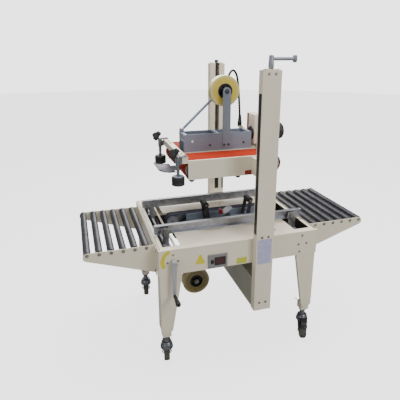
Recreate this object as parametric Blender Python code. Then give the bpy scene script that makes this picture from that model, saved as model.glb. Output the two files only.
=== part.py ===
"""Carton sealer machine: a belt-driven case taper on casters, with roller tables at both ends.

Machine coordinates, in metres: +X is the way the cartons travel, -Y is the operator's side and +Z is up.
The floor is z = 0. All pieces hang from one empty, which centres the machine's box on the origin.
"""

import math

import bmesh
import bpy
from mathutils import Matrix, Vector

# General
SHEET = 0.003
GAP = 0.0005
SIDES = 16

# Bed: an upturned tray of folded sheet, with one long opening and a cross slot near each end
BED_HALF_LENGTH = 0.423
BED_HALF_WIDTH = 0.357
DECK_TOP = 0.660
BED_BOTTOM = 0.528
OPENING_HALF_LENGTH = 0.308
OPENING_HALF_WIDTH = 0.110
SLOT_END = 0.397
SLOT_HALF_WIDTH = 0.317

# Width drive: one screw at the infeed end, one plain rod at the outfeed end, a guide rod beside each
SCREW_X = 0.354
SCREW_Z = 0.600
SCREW_RADIUS = 0.008
GUIDE_ROD_X = 0.3245
GUIDE_ROD_Z = 0.632
GUIDE_ROD_RADIUS = 0.006
RUNNING_HOLE = 0.0095

# Legs and casters
LEG_BOTTOM = 0.200
LEG_TAPER_TOP = 0.505
LEG_TOP_INNER = 0.312
LEG_FOOT_INNER = 0.3615
LEG_DEPTH = 0.068
LEG_FOLD = 0.018
CASTER_X = 0.391
CASTER_Y = 0.3215
CASTER_TOP = 0.172
CASTER_TRAIL = 0.030
WHEEL_RADIUS = 0.046
WHEEL_HALF_WIDTH = 0.015
CHEEK_INNER = 0.019
CHEEK_OUTER = 0.022

# Columns and foot beam
COLUMN_X = 0.102
COLUMN_HALF_WIDTH = 0.046
COLUMN_INNER = BED_HALF_WIDTH + GAP
COLUMN_OUTER = 0.3995
COLUMN_BOTTOM = 0.267
COLUMN_TOP = 1.480
COLUMN_SCREW_Y = (COLUMN_INNER + COLUMN_OUTER) / 2
SLOT_BOTTOM = 0.690
SIDE_SLOT_TOP = 1.378
BEAM_TOP = 0.440

# Roller tables
TABLE_ROLLERS = 6
ROLLER_PITCH = 0.0556
ROLLER_RADIUS = 0.0175
ROLLER_Z = 0.643
NOSE_ROLLER_X = 0.743
NOSE_RADIUS = 0.021
NOSE_Z = 0.634
TABLE_TOP = NOSE_Z + NOSE_RADIUS
TABLE_BOTTOM = 0.505
TABLE_INNER = 0.266
TABLE_OUTER = TABLE_INNER + SHEET
AXLE_RADIUS = 0.005

# Drive belts
LOWER_BELT = (0.056, 0.105, -0.299, 0.299, 0.588, 0.664)
UPPER_BELT = (0.060, 0.2105, -0.258, 0.262, 0.951, 1.0465)
BELT_THICKNESS = 0.004

# Side guides
RAIL_FACE = 0.180
RAIL_HALF_LENGTH = 0.411
RAIL_BOTTOM = 0.674
RAIL_TOP = 0.719
RAIL_LIP = 0.0225

# Sealing head
HEAD_LEFT = -0.239
HEAD_RIGHT = 0.230
HEAD_FACE = 0.224
HEAD_BOTTOM = 0.953
HEAD_TOP = 1.050
HEAD_FLANGE = 0.012
INNER_PLATE = 0.053
CROSSBAR_BOTTOM = 1.038

# Tape heads
TAPE_PLATE = 0.047
ARM_LENGTH_Z = 0.135
ARM_ROLLER_RADIUS = 0.017
ROLL_RADIUS = 0.080
ROLL_HALF_WIDTH = 0.025
ROLL_AXLE_RADIUS = 0.010
UPPER_ROLL = (0.0166, 1.356)
LOWER_ROLL = (-0.146, 0.266)

# Cranks
WIDTH_ARM_LENGTH = 0.172
GRIP_END = -0.466
HEIGHT_ARM_LENGTH = 0.116

# The box's middle lies half-way between the crank grip in front and the rear column behind.
CENTRE_SHIFT = Vector((0.0, -(GRIP_END + COLUMN_OUTER) / 2, 0.0))

CREAM = ((0.80, 0.76, 0.66), 0.42, 0.0)
GREY_PAINT = ((0.36, 0.36, 0.42), 0.45, 0.3)
STEEL = ((0.55, 0.56, 0.57), 0.32, 1.0)
ZINC = ((0.62, 0.63, 0.62), 0.38, 1.0)
DARK_STEEL = ((0.20, 0.21, 0.22), 0.45, 0.8)
BLACK_PLASTIC = ((0.02, 0.02, 0.02), 0.50, 0.0)
GREY_PLASTIC = ((0.42, 0.42, 0.42), 0.50, 0.0)
RED_PLASTIC = ((0.40, 0.03, 0.03), 0.40, 0.0)
RUBBER = ((0.03, 0.03, 0.03), 0.75, 0.0)
RED_BELT = ((0.62, 0.10, 0.04), 0.60, 0.0)
DARK_BELT = ((0.04, 0.05, 0.09), 0.65, 0.0)
TAPE = ((0.76, 0.66, 0.32), 0.25, 0.0)


def clear_scene():
    for old in list(bpy.data.objects):
        bpy.data.objects.remove(old, do_unlink=True)


def new_material(name, finish):
    """A plain material of its own for one piece, from (colour, roughness, metallic)."""
    colour, roughness, metallic = finish
    material = bpy.data.materials.new(name)
    material.use_nodes = True
    shader = material.node_tree.nodes["Principled BSDF"]
    shader.inputs["Base Color"].default_value = (*colour, 1.0)
    shader.inputs["Roughness"].default_value = roughness
    shader.inputs["Metallic"].default_value = metallic
    material.diffuse_color = (*colour, 1.0)
    return material


# Shapes: each returns a closed bmesh in machine coordinates


def block(x0, x1, y0, y1, z0, z1):
    """A box between three pairs of coordinates."""
    shape = bmesh.new()
    bmesh.ops.create_cube(shape, size=1.0)
    size = Matrix.Diagonal((abs(x1 - x0), abs(y1 - y0), abs(z1 - z0), 1.0))
    middle = Matrix.Translation(((x0 + x1) / 2, (y0 + y1) / 2, (z0 + z1) / 2))
    bmesh.ops.transform(shape, matrix=middle @ size, verts=shape.verts)
    return shape


def rod(start, end, radius, end_radius=None, sides=SIDES):
    """A round bar or a cone between two points."""
    start = Vector(start)
    along = Vector(end) - start
    shape = bmesh.new()
    bmesh.ops.create_cone(
        shape,
        cap_ends=True,
        segments=sides,
        radius1=radius,
        radius2=radius if end_radius is None else end_radius,
        depth=along.length,
    )
    turn = along.to_track_quat("Z", "Y").to_matrix().to_4x4()
    bmesh.ops.transform(shape, matrix=Matrix.Translation(start + along / 2) @ turn, verts=shape.verts)
    return shape


def plate(outline, y0, y1):
    """A flat outline of (x, z) points, given its thickness along Y."""
    shape = bmesh.new()
    corners = [shape.verts.new((x, y0, z)) for x, z in outline]
    face = shape.faces.new(corners)
    raised = bmesh.ops.extrude_face_region(shape, geom=[face])["geom"]
    moved = [item for item in raised if isinstance(item, bmesh.types.BMVert)]
    bmesh.ops.translate(shape, vec=(0, y1 - y0, 0), verts=moved)
    bmesh.ops.recalc_face_normals(shape, faces=shape.faces)
    return shape


def turned(profile, sides=SIDES):
    """A closed (radius, y) profile turned round the Y axis; every radius is over zero."""
    shape = bmesh.new()
    corners = [shape.verts.new((0, y, -radius)) for radius, y in profile]
    edges = [shape.edges.new((a, b)) for a, b in zip(corners, corners[1:] + corners[:1])]
    bmesh.ops.spin(
        shape,
        geom=corners + edges,
        cent=(0, 0, 0),
        axis=(0, 1, 0),
        angle=math.tau,
        steps=sides,
        use_merge=True,
    )
    bmesh.ops.remove_doubles(shape, verts=shape.verts, dist=1e-6)
    bmesh.ops.recalc_face_normals(shape, faces=shape.faces)
    return shape


def moved(shape, offset):
    bmesh.ops.translate(shape, vec=offset, verts=shape.verts)
    return shape


def rotated(shape, angle, axis, centre=(0, 0, 0)):
    bmesh.ops.rotate(shape, cent=centre, matrix=Matrix.Rotation(angle, 3, axis), verts=shape.verts)
    return shape


def arc(centre, radius, start, end, steps=8):
    """Points on a round stretch of an outline, from one angle in degrees to another."""
    angles = [math.radians(start + (end - start) * i / steps) for i in range(steps + 1)]
    return [(centre[0] + radius * math.cos(a), centre[1] + radius * math.sin(a)) for a in angles]


def link_outline(low, high, low_radius, high_radius):
    """A flat link with round ends, upright from its low end to its high end."""
    lean = math.degrees(math.atan2(high[0] - low[0], high[1] - low[1]))
    return arc(high, high_radius, -lean, 180 - lean, 5) + arc(low, low_radius, 180 - lean, 360 - lean, 5)


def racetrack(x0, x1, z0, z1):
    """A loop with round ends, as a belt runs round two drums."""
    radius = (z1 - z0) / 2
    middle = (z0 + z1) / 2
    return arc((x1 - radius, middle), radius, -90, 90, 10) + arc((x0 + radius, middle), radius, 90, 270, 10)


# Pieces


def to_mesh(name, shape, origin):
    mesh = bpy.data.meshes.new(name)
    bmesh.ops.translate(shape, vec=-Vector(origin), verts=shape.verts)
    shape.to_mesh(mesh)
    shape.free()
    mesh.shade_smooth()
    mesh.set_sharp_from_angle(angle=math.radians(35))
    return mesh


def piece(name, finish, base, steps=(), origin=(0, 0, 0)):
    """One sub-part: a base shape, then joins and cuts in turn, with its origin on its joint's axis."""
    obj = bpy.data.objects.new(name, to_mesh(name, base, origin))
    bpy.context.scene.collection.objects.link(obj)
    obj.parent = machine
    obj.location = origin
    obj.data.materials.append(new_material(name, finish))
    for index, (operation, shapes) in enumerate(steps):
        tools = bpy.data.collections.new(f"{name}_{index}")
        bpy.context.scene.collection.children.link(tools)
        tools.hide_render = True
        for shape in shapes:
            helper = bpy.data.objects.new(f"{name}_tool", to_mesh("tool", shape, origin))
            tools.objects.link(helper)
            helper.parent = obj
            helper.hide_render = True
            helper.display_type = "WIRE"
        modifier = obj.modifiers.new(operation.title(), "BOOLEAN")
        modifier.operation = operation
        modifier.operand_type = "COLLECTION"
        modifier.collection = tools
        modifier.solver = "EXACT"
    return obj


def make_bed():
    """The tray, with the two guide rods and the outfeed support rod welded between its panels."""
    tray = block(-BED_HALF_LENGTH, BED_HALF_LENGTH, -BED_HALF_WIDTH, BED_HALF_WIDTH, BED_BOTTOM, DECK_TOP)
    inside_x = BED_HALF_LENGTH - SHEET
    inside_y = BED_HALF_WIDTH - SHEET
    inside = block(-inside_x, inside_x, -inside_y, inside_y, BED_BOTTOM - 0.01, DECK_TOP - SHEET)
    low, high = DECK_TOP - 0.01, DECK_TOP + 0.01
    opening = block(
        -OPENING_HALF_LENGTH, OPENING_HALF_LENGTH, -OPENING_HALF_WIDTH, OPENING_HALF_WIDTH, low, high
    )
    edge = OPENING_HALF_LENGTH - 0.001
    slots = [
        block(side * edge, side * SLOT_END, -SLOT_HALF_WIDTH, SLOT_HALF_WIDTH, low, high) for side in (-1, 1)
    ]
    screw_hole = rod((-SCREW_X, -0.370, SCREW_Z), (-SCREW_X, -0.345, SCREW_Z), RUNNING_HOLE)
    reach = BED_HALF_WIDTH - SHEET / 2
    rods = [
        rod((x, -reach, z), (x, reach, z), radius, sides=12)
        for x, z, radius in (
            (-GUIDE_ROD_X, GUIDE_ROD_Z, GUIDE_ROD_RADIUS),
            (GUIDE_ROD_X, GUIDE_ROD_Z, GUIDE_ROD_RADIUS),
            (SCREW_X, SCREW_Z, SCREW_RADIUS),
        )
    ]
    piece("bed_casing", CREAM, tray, [("DIFFERENCE", [inside, opening, *slots, screw_hole]), ("UNION", rods)])


def leg_outline(inset, top):
    """Half-width outline of a leg: straight on its outer side, tapered on its inner side."""
    outer = BED_HALF_LENGTH - SHEET - GAP - inset
    bottom = LEG_BOTTOM + inset
    return [
        (outer, top),
        (LEG_TOP_INNER + inset, top),
        (LEG_TOP_INNER + inset, LEG_TAPER_TOP),
        (LEG_FOOT_INNER + inset, bottom + 0.014),
        (LEG_FOOT_INNER + inset + 0.012, bottom),
        (outer - 0.010, bottom),
        (outer, bottom + 0.012),
    ]


def make_leg(name, side_x, side_y):
    """A tapered channel leg of folded sheet, closed at its foot, nested in a corner of the bed."""
    face = side_y * (BED_HALF_WIDTH - SHEET - GAP)
    back = face - side_y * LEG_DEPTH
    top = DECK_TOP - SHEET - GAP
    outline = [(side_x * x, z) for x, z in leg_outline(0.0, top)]
    hollow = [(side_x * x, z) for x, z in leg_outline(SHEET, top + 0.01)]
    cuts = [plate(hollow, face - side_y * SHEET, back - side_y * 0.01)]
    # The fold on the tapered side is narrow: all of it beyond LEG_FOLD is cut away.
    fold_end = LEG_BOTTOM + 0.018
    share = (LEG_TAPER_TOP - fold_end) / (LEG_TAPER_TOP - LEG_BOTTOM - 0.014)
    end_x = LEG_TOP_INNER + (LEG_FOOT_INNER - LEG_TOP_INNER) * share
    fold = [(LEG_TOP_INNER, top + 0.01), (LEG_TOP_INNER, LEG_TAPER_TOP), (end_x, fold_end)]
    strip = [(x - 0.002, z) for x, z in fold] + [(x + SHEET + 0.001, z) for x, z in reversed(fold)]
    strip = [(side_x * x, z) for x, z in strip]
    cuts.append(plate(strip, face - side_y * LEG_FOLD, back - side_y * 0.01))
    foot = block(
        side_x * (CASTER_X - 0.022),
        side_x * (CASTER_X + 0.022),
        side_y * (CASTER_Y - 0.024),
        side_y * (CASTER_Y + 0.024),
        CASTER_TOP,
        LEG_BOTTOM + 0.001,
    )
    rod_hole = GUIDE_ROD_RADIUS + 0.002
    for x, z, radius in ((SCREW_X, SCREW_Z, RUNNING_HOLE), (GUIDE_ROD_X, GUIDE_ROD_Z, rod_hole)):
        cuts.append(rod((side_x * x, side_y * 0.335, z), (side_x * x, side_y * 0.370, z), radius, sides=12))
    piece(name, CREAM, plate(outline, face, back), [("DIFFERENCE", cuts), ("UNION", [foot])])


def make_column(name, side_y, open_side):
    """A box column, slotted on its inner face for the head and on one side, with a bearing for its screw."""
    left = COLUMN_X - COLUMN_HALF_WIDTH
    right = COLUMN_X + COLUMN_HALF_WIDTH
    inner = side_y * COLUMN_INNER
    outer = side_y * COLUMN_OUTER
    wall = side_y * SHEET
    below, above = COLUMN_BOTTOM - 0.01, COLUMN_TOP + 0.01
    hollow = block(left + SHEET, right - SHEET, inner + wall, outer - wall, below, above)
    head_slot = block(
        COLUMN_X - 0.013, COLUMN_X + 0.013, inner - wall, inner + 1.2 * wall, SLOT_BOTTOM, COLUMN_TOP + 0.01
    )
    side = COLUMN_X + open_side * COLUMN_HALF_WIDTH
    side_slot = block(
        side - open_side * 1.2 * SHEET,
        side + open_side * 0.01,
        inner + 1.6 * wall,
        outer - 1.6 * wall,
        SLOT_BOTTOM,
        SIDE_SLOT_TOP,
    )
    bearings = [
        block(COLUMN_X - 0.030, COLUMN_X + 0.030, inner + 1.3 * wall, outer - 0.5 * wall, low, high)
        for low, high in ((SLOT_BOTTOM, SLOT_BOTTOM + 0.010), (COLUMN_TOP - 0.006, COLUMN_TOP + 0.004))
    ]
    middle = side_y * COLUMN_SCREW_Y
    bore = rod((COLUMN_X, middle, SLOT_BOTTOM - 0.01), (COLUMN_X, middle, above), SCREW_RADIUS + 0.0006)
    steps = [("DIFFERENCE", [hollow, head_slot, side_slot]), ("UNION", bearings), ("DIFFERENCE", [bore])]
    piece(name, CREAM, block(left, right, inner, outer, COLUMN_BOTTOM, COLUMN_TOP), steps)


def make_foot_beam():
    """The channel that ties the columns together under the bed, open towards the outfeed."""
    left = COLUMN_X - COLUMN_HALF_WIDTH + 0.0025
    right = COLUMN_X + COLUMN_HALF_WIDTH - 0.0025
    end = COLUMN_INNER - GAP
    low = COLUMN_BOTTOM + 0.003
    hollow = block(left + SHEET, right + 0.01, -end - 0.01, end + 0.01, low + SHEET, BEAM_TOP - SHEET)
    piece("foot_beam", CREAM, block(left, right, -end, end, low, BEAM_TOP), [("DIFFERENCE", [hollow])])


def make_table(name, side):
    """A roller table's frame: two tapered side plates with rounded noses on one end plate."""
    start = BED_HALF_LENGTH + GAP
    nose = arc((NOSE_ROLLER_X, NOSE_Z), NOSE_RADIUS, 90, -75, 6)
    outline = [(side * x, z) for x, z in [(start, TABLE_TOP), *nose, (start, TABLE_BOTTOM)]]
    end_plate = block(side * start, side * (start + SHEET), -0.302, 0.302, TABLE_BOTTOM, TABLE_TOP - 0.004)
    other_side = plate(outline, TABLE_INNER, TABLE_OUTER)
    holes = [
        rod((side * x, -0.28, ROLLER_Z), (side * x, 0.28, ROLLER_Z), AXLE_RADIUS + 0.001, sides=8)
        for x in roller_places()
    ]
    steps = [("UNION", [end_plate, other_side]), ("DIFFERENCE", holes)]
    piece(name, CREAM, plate(outline, -TABLE_INNER, -TABLE_OUTER), steps)


def roller_places():
    """Distances of the rollers from the machine's middle, the nose roller first."""
    return [NOSE_ROLLER_X - ROLLER_PITCH * i for i in range(TABLE_ROLLERS)]


def make_rollers(table, side):
    """The table's rollers, each on a stub axle at either end."""
    for number, place in enumerate(roller_places(), start=1):
        end = TABLE_INNER - 0.003
        tip = TABLE_OUTER + 0.002
        centre = (side * place, 0, ROLLER_Z)
        tube = rod((side * place, -end, ROLLER_Z), (side * place, end, ROLLER_Z), ROLLER_RADIUS)
        axle = rod((side * place, -tip, ROLLER_Z), (side * place, tip, ROLLER_Z), AXLE_RADIUS, sides=8)
        piece(f"{table}_roller_{number}", STEEL, tube, [("UNION", [axle])], origin=centre)


def make_belt(name, size, side_y, finish):
    inner, outer, x0, x1, z0, z1 = size
    thick = BELT_THICKNESS
    inside = racetrack(x0 + thick, x1 - thick, z0 + thick, z1 - thick)
    hollow = plate(inside, side_y * (inner - 0.01), side_y * (outer + 0.01))
    loop = plate(racetrack(x0, x1, z0, z1), side_y * inner, side_y * outer)
    piece(name, finish, loop, [("DIFFERENCE", [hollow])])


def make_guide_rail(name, side_y):
    """A channel rail on two posts, whose nuts ride on the width screw and on the support rod."""
    face = side_y * RAIL_FACE
    lip = side_y * (RAIL_FACE + RAIL_LIP)
    rail = block(-RAIL_HALF_LENGTH, RAIL_HALF_LENGTH, face, lip, RAIL_BOTTOM, RAIL_TOP)
    hollow = block(
        -RAIL_HALF_LENGTH - 0.01,
        RAIL_HALF_LENGTH + 0.01,
        face + side_y * SHEET,
        lip + side_y * 0.01,
        RAIL_BOTTOM + SHEET,
        RAIL_TOP - SHEET,
    )
    posts = []
    holes = []
    for x in (-SCREW_X, SCREW_X):
        back = lip + side_y * 0.016
        posts.append(block(x - 0.012, x + 0.012, lip - side_y * 0.019, back, SCREW_Z, RAIL_TOP - 0.010))
        posts.append(block(x - 0.018, x + 0.018, lip, lip + side_y * 0.027, SCREW_Z - 0.015, SCREW_Z + 0.020))
        holes.append(rod((x, lip - side_y * 0.04, SCREW_Z), (x, lip + side_y * 0.04, SCREW_Z), RUNNING_HOLE))
    piece(name, ZINC, rail, [("DIFFERENCE", [hollow]), ("UNION", posts), ("DIFFERENCE", holes)])


def make_width_crank():
    """The width screw with its crank arm, and the grip that turns on the arm's end."""
    axis = (-SCREW_X, -0.381, SCREW_Z)
    hub = rod((-SCREW_X, -0.3855, SCREW_Z), (-SCREW_X, -0.361, SCREW_Z), 0.013)
    foot = (-SCREW_X - 0.003, SCREW_Z - WIDTH_ARM_LENGTH)
    arm = plate(link_outline(foot, (-SCREW_X, SCREW_Z), 0.010, 0.014), -0.3860, -0.3790)
    pin = rod((foot[0], -0.421, foot[1]), (foot[0], -0.3810, foot[1]), 0.0035, sides=12)
    screw = rod((-SCREW_X, -0.366, SCREW_Z), (-SCREW_X, 0.341, SCREW_Z), SCREW_RADIUS)
    piece("width_crank", STEEL, screw, [("UNION", [hub, arm, pin])], origin=axis)
    profile = [
        (0.0041, GRIP_END + 0.008),
        (0.0090, GRIP_END),
        (0.0125, GRIP_END + 0.004),
        (0.0125, GRIP_END + 0.020),
        (0.0085, -0.3910),
        (0.0075, -0.3866),
        (0.0041, -0.3866),
    ]
    grip = moved(turned(profile), (foot[0], 0, foot[1]))
    piece("width_crank_grip", BLACK_PLASTIC, grip, origin=(foot[0], -0.3866, foot[1]))


def make_height_screws():
    """The front screw with its crank on top, and the rear screw with its end nut."""
    front = (COLUMN_X, -COLUMN_SCREW_Y, 0)
    low = SLOT_BOTTOM + 0.004
    top = COLUMN_TOP + 0.0045
    screw = rod((front[0], front[1], low), (front[0], front[1], top + 0.02), SCREW_RADIUS)
    arm_z = COLUMN_TOP + 0.048
    knob_x = front[0] + HEIGHT_ARM_LENGTH
    joins = [
        rod((front[0], front[1], top), (front[0], front[1], COLUMN_TOP + 0.065), 0.0125),
        rod((front[0], front[1], arm_z), (knob_x, front[1], arm_z), 0.0058, sides=12),
        rod((knob_x, front[1], arm_z - 0.020), (knob_x, front[1], arm_z + 0.017), 0.0105),
    ]
    piece("height_crank", STEEL, screw, [("UNION", joins)], origin=(front[0], front[1], arm_z))
    rear = (COLUMN_X, COLUMN_SCREW_Y)
    screw = rod((*rear, low), (*rear, top + 0.01), SCREW_RADIUS)
    nut = rod((*rear, top), (*rear, top + 0.016), 0.0115, sides=6)
    piece("rear_height_screw", DARK_STEEL, screw, [("UNION", [nut])], origin=(*rear, top))


def make_head_frame():
    """The head's welded frame: two outer channels, two inner plates, the outfeed crossbar and both nuts."""
    outer = block(HEAD_LEFT, HEAD_RIGHT, -HEAD_FACE, -HEAD_FACE + SHEET, HEAD_BOTTOM, HEAD_TOP)
    joins = [block(HEAD_LEFT, HEAD_RIGHT, HEAD_FACE - SHEET, HEAD_FACE, HEAD_BOTTOM, HEAD_TOP)]
    for side in (-1, 1):
        flange = side * (HEAD_FACE - HEAD_FLANGE)
        for low in (HEAD_BOTTOM, HEAD_TOP - SHEET):
            joins.append(block(HEAD_LEFT, HEAD_RIGHT, flange, side * (HEAD_FACE - 0.001), low, low + SHEET))
        inner, outer_side = side * INNER_PLATE, side * (INNER_PLATE + SHEET)
        joins.append(block(HEAD_LEFT, HEAD_RIGHT, inner, outer_side, HEAD_BOTTOM + 0.007, HEAD_TOP))
        tongue_end = side * (COLUMN_INNER + 0.008)
        joins.append(
            block(COLUMN_X - 0.009, COLUMN_X + 0.009, side * (HEAD_FACE - 0.001), tongue_end, 0.958, 1.045)
        )
        nut_inner, nut_outer = side * (COLUMN_INNER + 0.005), side * (COLUMN_OUTER - 0.005)
        joins.append(block(COLUMN_X - 0.027, COLUMN_X + 0.027, nut_inner, nut_outer, 0.955, 1.048))
    end = HEAD_FACE - 0.001
    joins.append(block(0.196, 0.228, -end, end, HEAD_TOP - 0.0015, 1.070))
    joins.append(plate([(0.206, 1.060), (0.222, 1.060), (0.158, 1.150), (0.136, 1.150)], 0.077, 0.103))
    joins.append(rod((0.147, 0.090, 1.145), (0.147, 0.090, 1.162), 0.0085))
    bores = [
        rod((COLUMN_X, side * COLUMN_SCREW_Y, 0.94), (COLUMN_X, side * COLUMN_SCREW_Y, 1.06), RUNNING_HOLE)
        for side in (-1, 1)
    ]
    piece("head_frame", CREAM, outer, [("UNION", joins), ("DIFFERENCE", bores)])


def make_crossbar():
    """The bar across the head's infeed end, which carries the side presses."""
    top = CROSSBAR_BOTTOM + 0.032
    bar = block(HEAD_LEFT - 0.030, HEAD_LEFT - GAP, -HEAD_FACE, HEAD_FACE, CROSSBAR_BOTTOM, top)
    piece("infeed_crossbar", CREAM, bar)


def make_side_press(name, side_y):
    """A clamp on the crossbar with its knob and rod, and the roller that steers the carton."""
    y = side_y * 0.216
    rod_x = HEAD_LEFT - 0.050
    clamp = block(HEAD_LEFT - 0.0605, HEAD_LEFT - 0.0305, y - 0.013, y + 0.013, 1.028, 1.080)
    top_z = CROSSBAR_BOTTOM + 0.0325
    joins = [
        block(HEAD_LEFT - 0.050, HEAD_LEFT - 0.004, y - 0.013, y + 0.013, top_z, top_z + 0.009),
        rod((rod_x, y, 0.927), (rod_x, y, 1.040), 0.006, sides=12),
        rod((rod_x, y, 1.065), (rod_x - 0.020, y, 1.085), 0.006, sides=12),
        rod((rod_x - 0.016, y, 1.081), (rod_x - 0.030, y, 1.095), 0.027),
    ]
    piece(f"{name}_bracket", ZINC, clamp, [("UNION", joins)])
    low, high = 0.930, 0.978
    profile = [(0.0068, low), (0.029, low), (0.032, low + 0.003)]
    profile += [(0.032, high - 0.003), (0.029, high), (0.0068, high)]
    roller = rotated(turned(profile, 20), math.pi / 2, "X")
    bounds = [vertex.co.z for vertex in roller.verts]
    moved(roller, (rod_x, y, low - min(bounds)))
    piece(f"{name}_roller", RUBBER, roller, origin=(rod_x, y, low))


def make_lower_tape_head():
    """Two side plates with cross blocks, and the arm and axle for the lower tape roll."""
    left, right = -0.184, 0.276
    low, high = 0.560, 0.664
    near = block(left, right, -TAPE_PLATE - SHEET, -TAPE_PLATE, low, high)
    x, z = LOWER_ROLL
    across = TAPE_PLATE + 0.001
    joins = [
        block(left, right, TAPE_PLATE, TAPE_PLATE + SHEET, low, high),
        block(left + 0.001, left + 0.014, -across, across, low + 0.001, low + 0.045),
        block(0.037, 0.055, -across, across, low + 0.001, low + 0.012),
        block(right - 0.010, right - 0.001, -across, across, low + 0.001, low + 0.024),
        plate(link_outline((x, z), (x, low + 0.004), 0.021, 0.021), 0.034, 0.038),
        block(x - 0.020, x + 0.020, 0.033, across, low + 0.001, low + 0.020),
        rod((x, 0.036, z), (x, -0.032, z), ROLL_AXLE_RADIUS),
    ]
    piece("lower_tape_head", GREY_PAINT, near, [("UNION", joins)])


def make_upper_tape_head():
    """Two side plates with cross blocks, the hold-down ski at the infeed end and the cable's gland."""
    left, right = -0.216, 0.161
    low, high = 0.956, 1.142
    near = block(left, right, -TAPE_PLATE - SHEET, -TAPE_PLATE, low, high)
    ski = [
        (-0.268, 0.9545),
        (-0.268, 0.9580),
        (-0.300, 0.9580),
        (-0.330, 0.9630),
        (-0.354, 0.9730),
        (-0.3555, 0.9700),
        (-0.331, 0.9598),
        (-0.300, 0.9545),
    ]
    across = TAPE_PLATE + 0.001
    joins = [
        block(left, right, TAPE_PLATE, TAPE_PLATE + SHEET, low, high),
        block(left + 0.001, left + 0.012, -across, across, low + 0.001, low + 0.020),
        block(left + 0.001, left + 0.020, -across, across, high - 0.040, high - 0.001),
        block(-0.037, -0.019, -across, across, high - 0.030, high - 0.001),
        block(right - 0.020, right - 0.001, -across, across, high - 0.040, high - 0.001),
        block(-0.275, left + 0.016, -0.044, 0.044, 0.9545, 0.9580),
        plate(ski, -0.080, 0.080),
        block(0.033, 0.059, 0.036, 0.062, high - 0.018, high + 0.004),
    ]
    piece("upper_tape_head", GREY_PAINT, near, [("UNION", joins)])


def make_tape_arm(name, pivot, lean, direction):
    """A sprung arm of a tape head: two links, a pivot pin and the roller that presses the tape on."""
    tip = (pivot[0] + lean, pivot[1] + direction * ARM_LENGTH_Z)
    low, high = (pivot, tip) if direction > 0 else (tip, pivot)
    joins = [
        plate(link_outline(low, high, 0.011, 0.011), 0.0345, 0.0385),
        rod((pivot[0], -0.0465, pivot[1]), (pivot[0], 0.0465, pivot[1]), 0.006, sides=12),
        rod((tip[0], -0.035, tip[1]), (tip[0], 0.035, tip[1]), ARM_ROLLER_RADIUS),
    ]
    near = plate(link_outline(low, high, 0.011, 0.011), -0.0385, -0.0345)
    piece(name, DARK_STEEL, near, [("UNION", joins)], origin=(pivot[0], 0, pivot[1]))


def make_roll_arm():
    """The upright arm that holds the upper roll, with its axle and the brace to the head's infeed end."""
    x, z = UPPER_ROLL
    front = -TAPE_PLATE - SHEET - GAP
    outline = [(x - 0.022, 1.062), (x + 0.022, 1.062)] + arc((x, z), 0.022, 0, 180, 12)
    brace_y = 0.0375
    joins = [
        rod((x, front, z), (x, 0.042, z), ROLL_AXLE_RADIUS),
        rod((x - 0.001, brace_y, z + 0.001), (-0.2055, brace_y, 1.1505), 0.007, sides=12),
        block(-0.216, -0.195, brace_y - 0.009, brace_y + 0.009, 1.1425, 1.158),
    ]
    piece("roll_arm", GREY_PAINT, plate(outline, front - 0.003, front + 0.0002), [("UNION", joins)])


def make_tape_roll(name, centre):
    """A roll of tape on its hub, bored for the axle."""
    bore = ROLL_AXLE_RADIUS + 0.0008
    half = ROLL_HALF_WIDTH
    profile = [(bore, -half - 0.003), (0.038, -half - 0.003), (0.038, -half), (ROLL_RADIUS, -half)]
    profile += [(radius, -y) for radius, y in reversed(profile)]
    place = (centre[0], 0, centre[1])
    piece(name, TAPE, moved(turned(profile, 28), place), origin=place)


def make_upper_motor():
    """The drive motor lying along X on the outfeed crossbar, with its square terminal box."""
    box = block(0.176, 0.220, -0.052, 0.052, 1.0705, 1.230)
    joins = [
        rod((0.218, 0, 1.126), (0.354, 0, 1.126), 0.0460),
        rod((0.350, 0, 1.126), (0.364, 0, 1.126), 0.0455, 0.0380),
    ]
    piece("upper_motor", BLACK_PLASTIC, box, [("UNION", joins)])


def smooth_route(points, spacing):
    """Points on a smooth curve through the route's own points, about evenly spaced."""
    knots = [Vector(point) for point in points]
    knots = [2 * knots[0] - knots[1], *knots, 2 * knots[-1] - knots[-2]]
    route = []
    for a, b, c, d in zip(knots, knots[1:], knots[2:], knots[3:]):
        steps = max(1, round((c - b).length / spacing))
        for i in range(steps):
            t = i / steps
            route.append(
                0.5 * (2 * b + (c - a) * t + (2 * a - 5 * b + 4 * c - d) * t * t + (3 * b - a - 3 * c + d) * t**3)
            )
    return [*route, knots[-2]]


def make_cable():
    """The motor's cable, held at both ends on the head, in one high loop."""
    route = [
        (0.046, 0.049, 1.1463),
        (0.046, 0.050, 1.200),
        (0.048, 0.055, 1.300),
        (0.056, 0.063, 1.385),
        (0.074, 0.071, 1.437),
        (0.097, 0.078, 1.455),
        (0.119, 0.083, 1.432),
        (0.131, 0.086, 1.380),
        (0.139, 0.088, 1.300),
        (0.145, 0.089, 1.220),
        (0.147, 0.090, 1.1623),
    ]
    points = smooth_route(route, 0.024)
    curve = bpy.data.curves.new("head_cable", "CURVE")
    curve.dimensions = "3D"
    curve.bevel_depth = 0.0055
    curve.bevel_resolution = 2
    curve.use_fill_caps = True
    spline = curve.splines.new("POLY")
    spline.points.add(len(points) - 1)
    for target, point in zip(spline.points, points):
        target.co = (*point, 1.0)
    cable = bpy.data.objects.new("head_cable", curve)
    bpy.context.scene.collection.objects.link(cable)
    cable.parent = machine
    curve.materials.append(new_material("head_cable", RUBBER))


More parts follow.
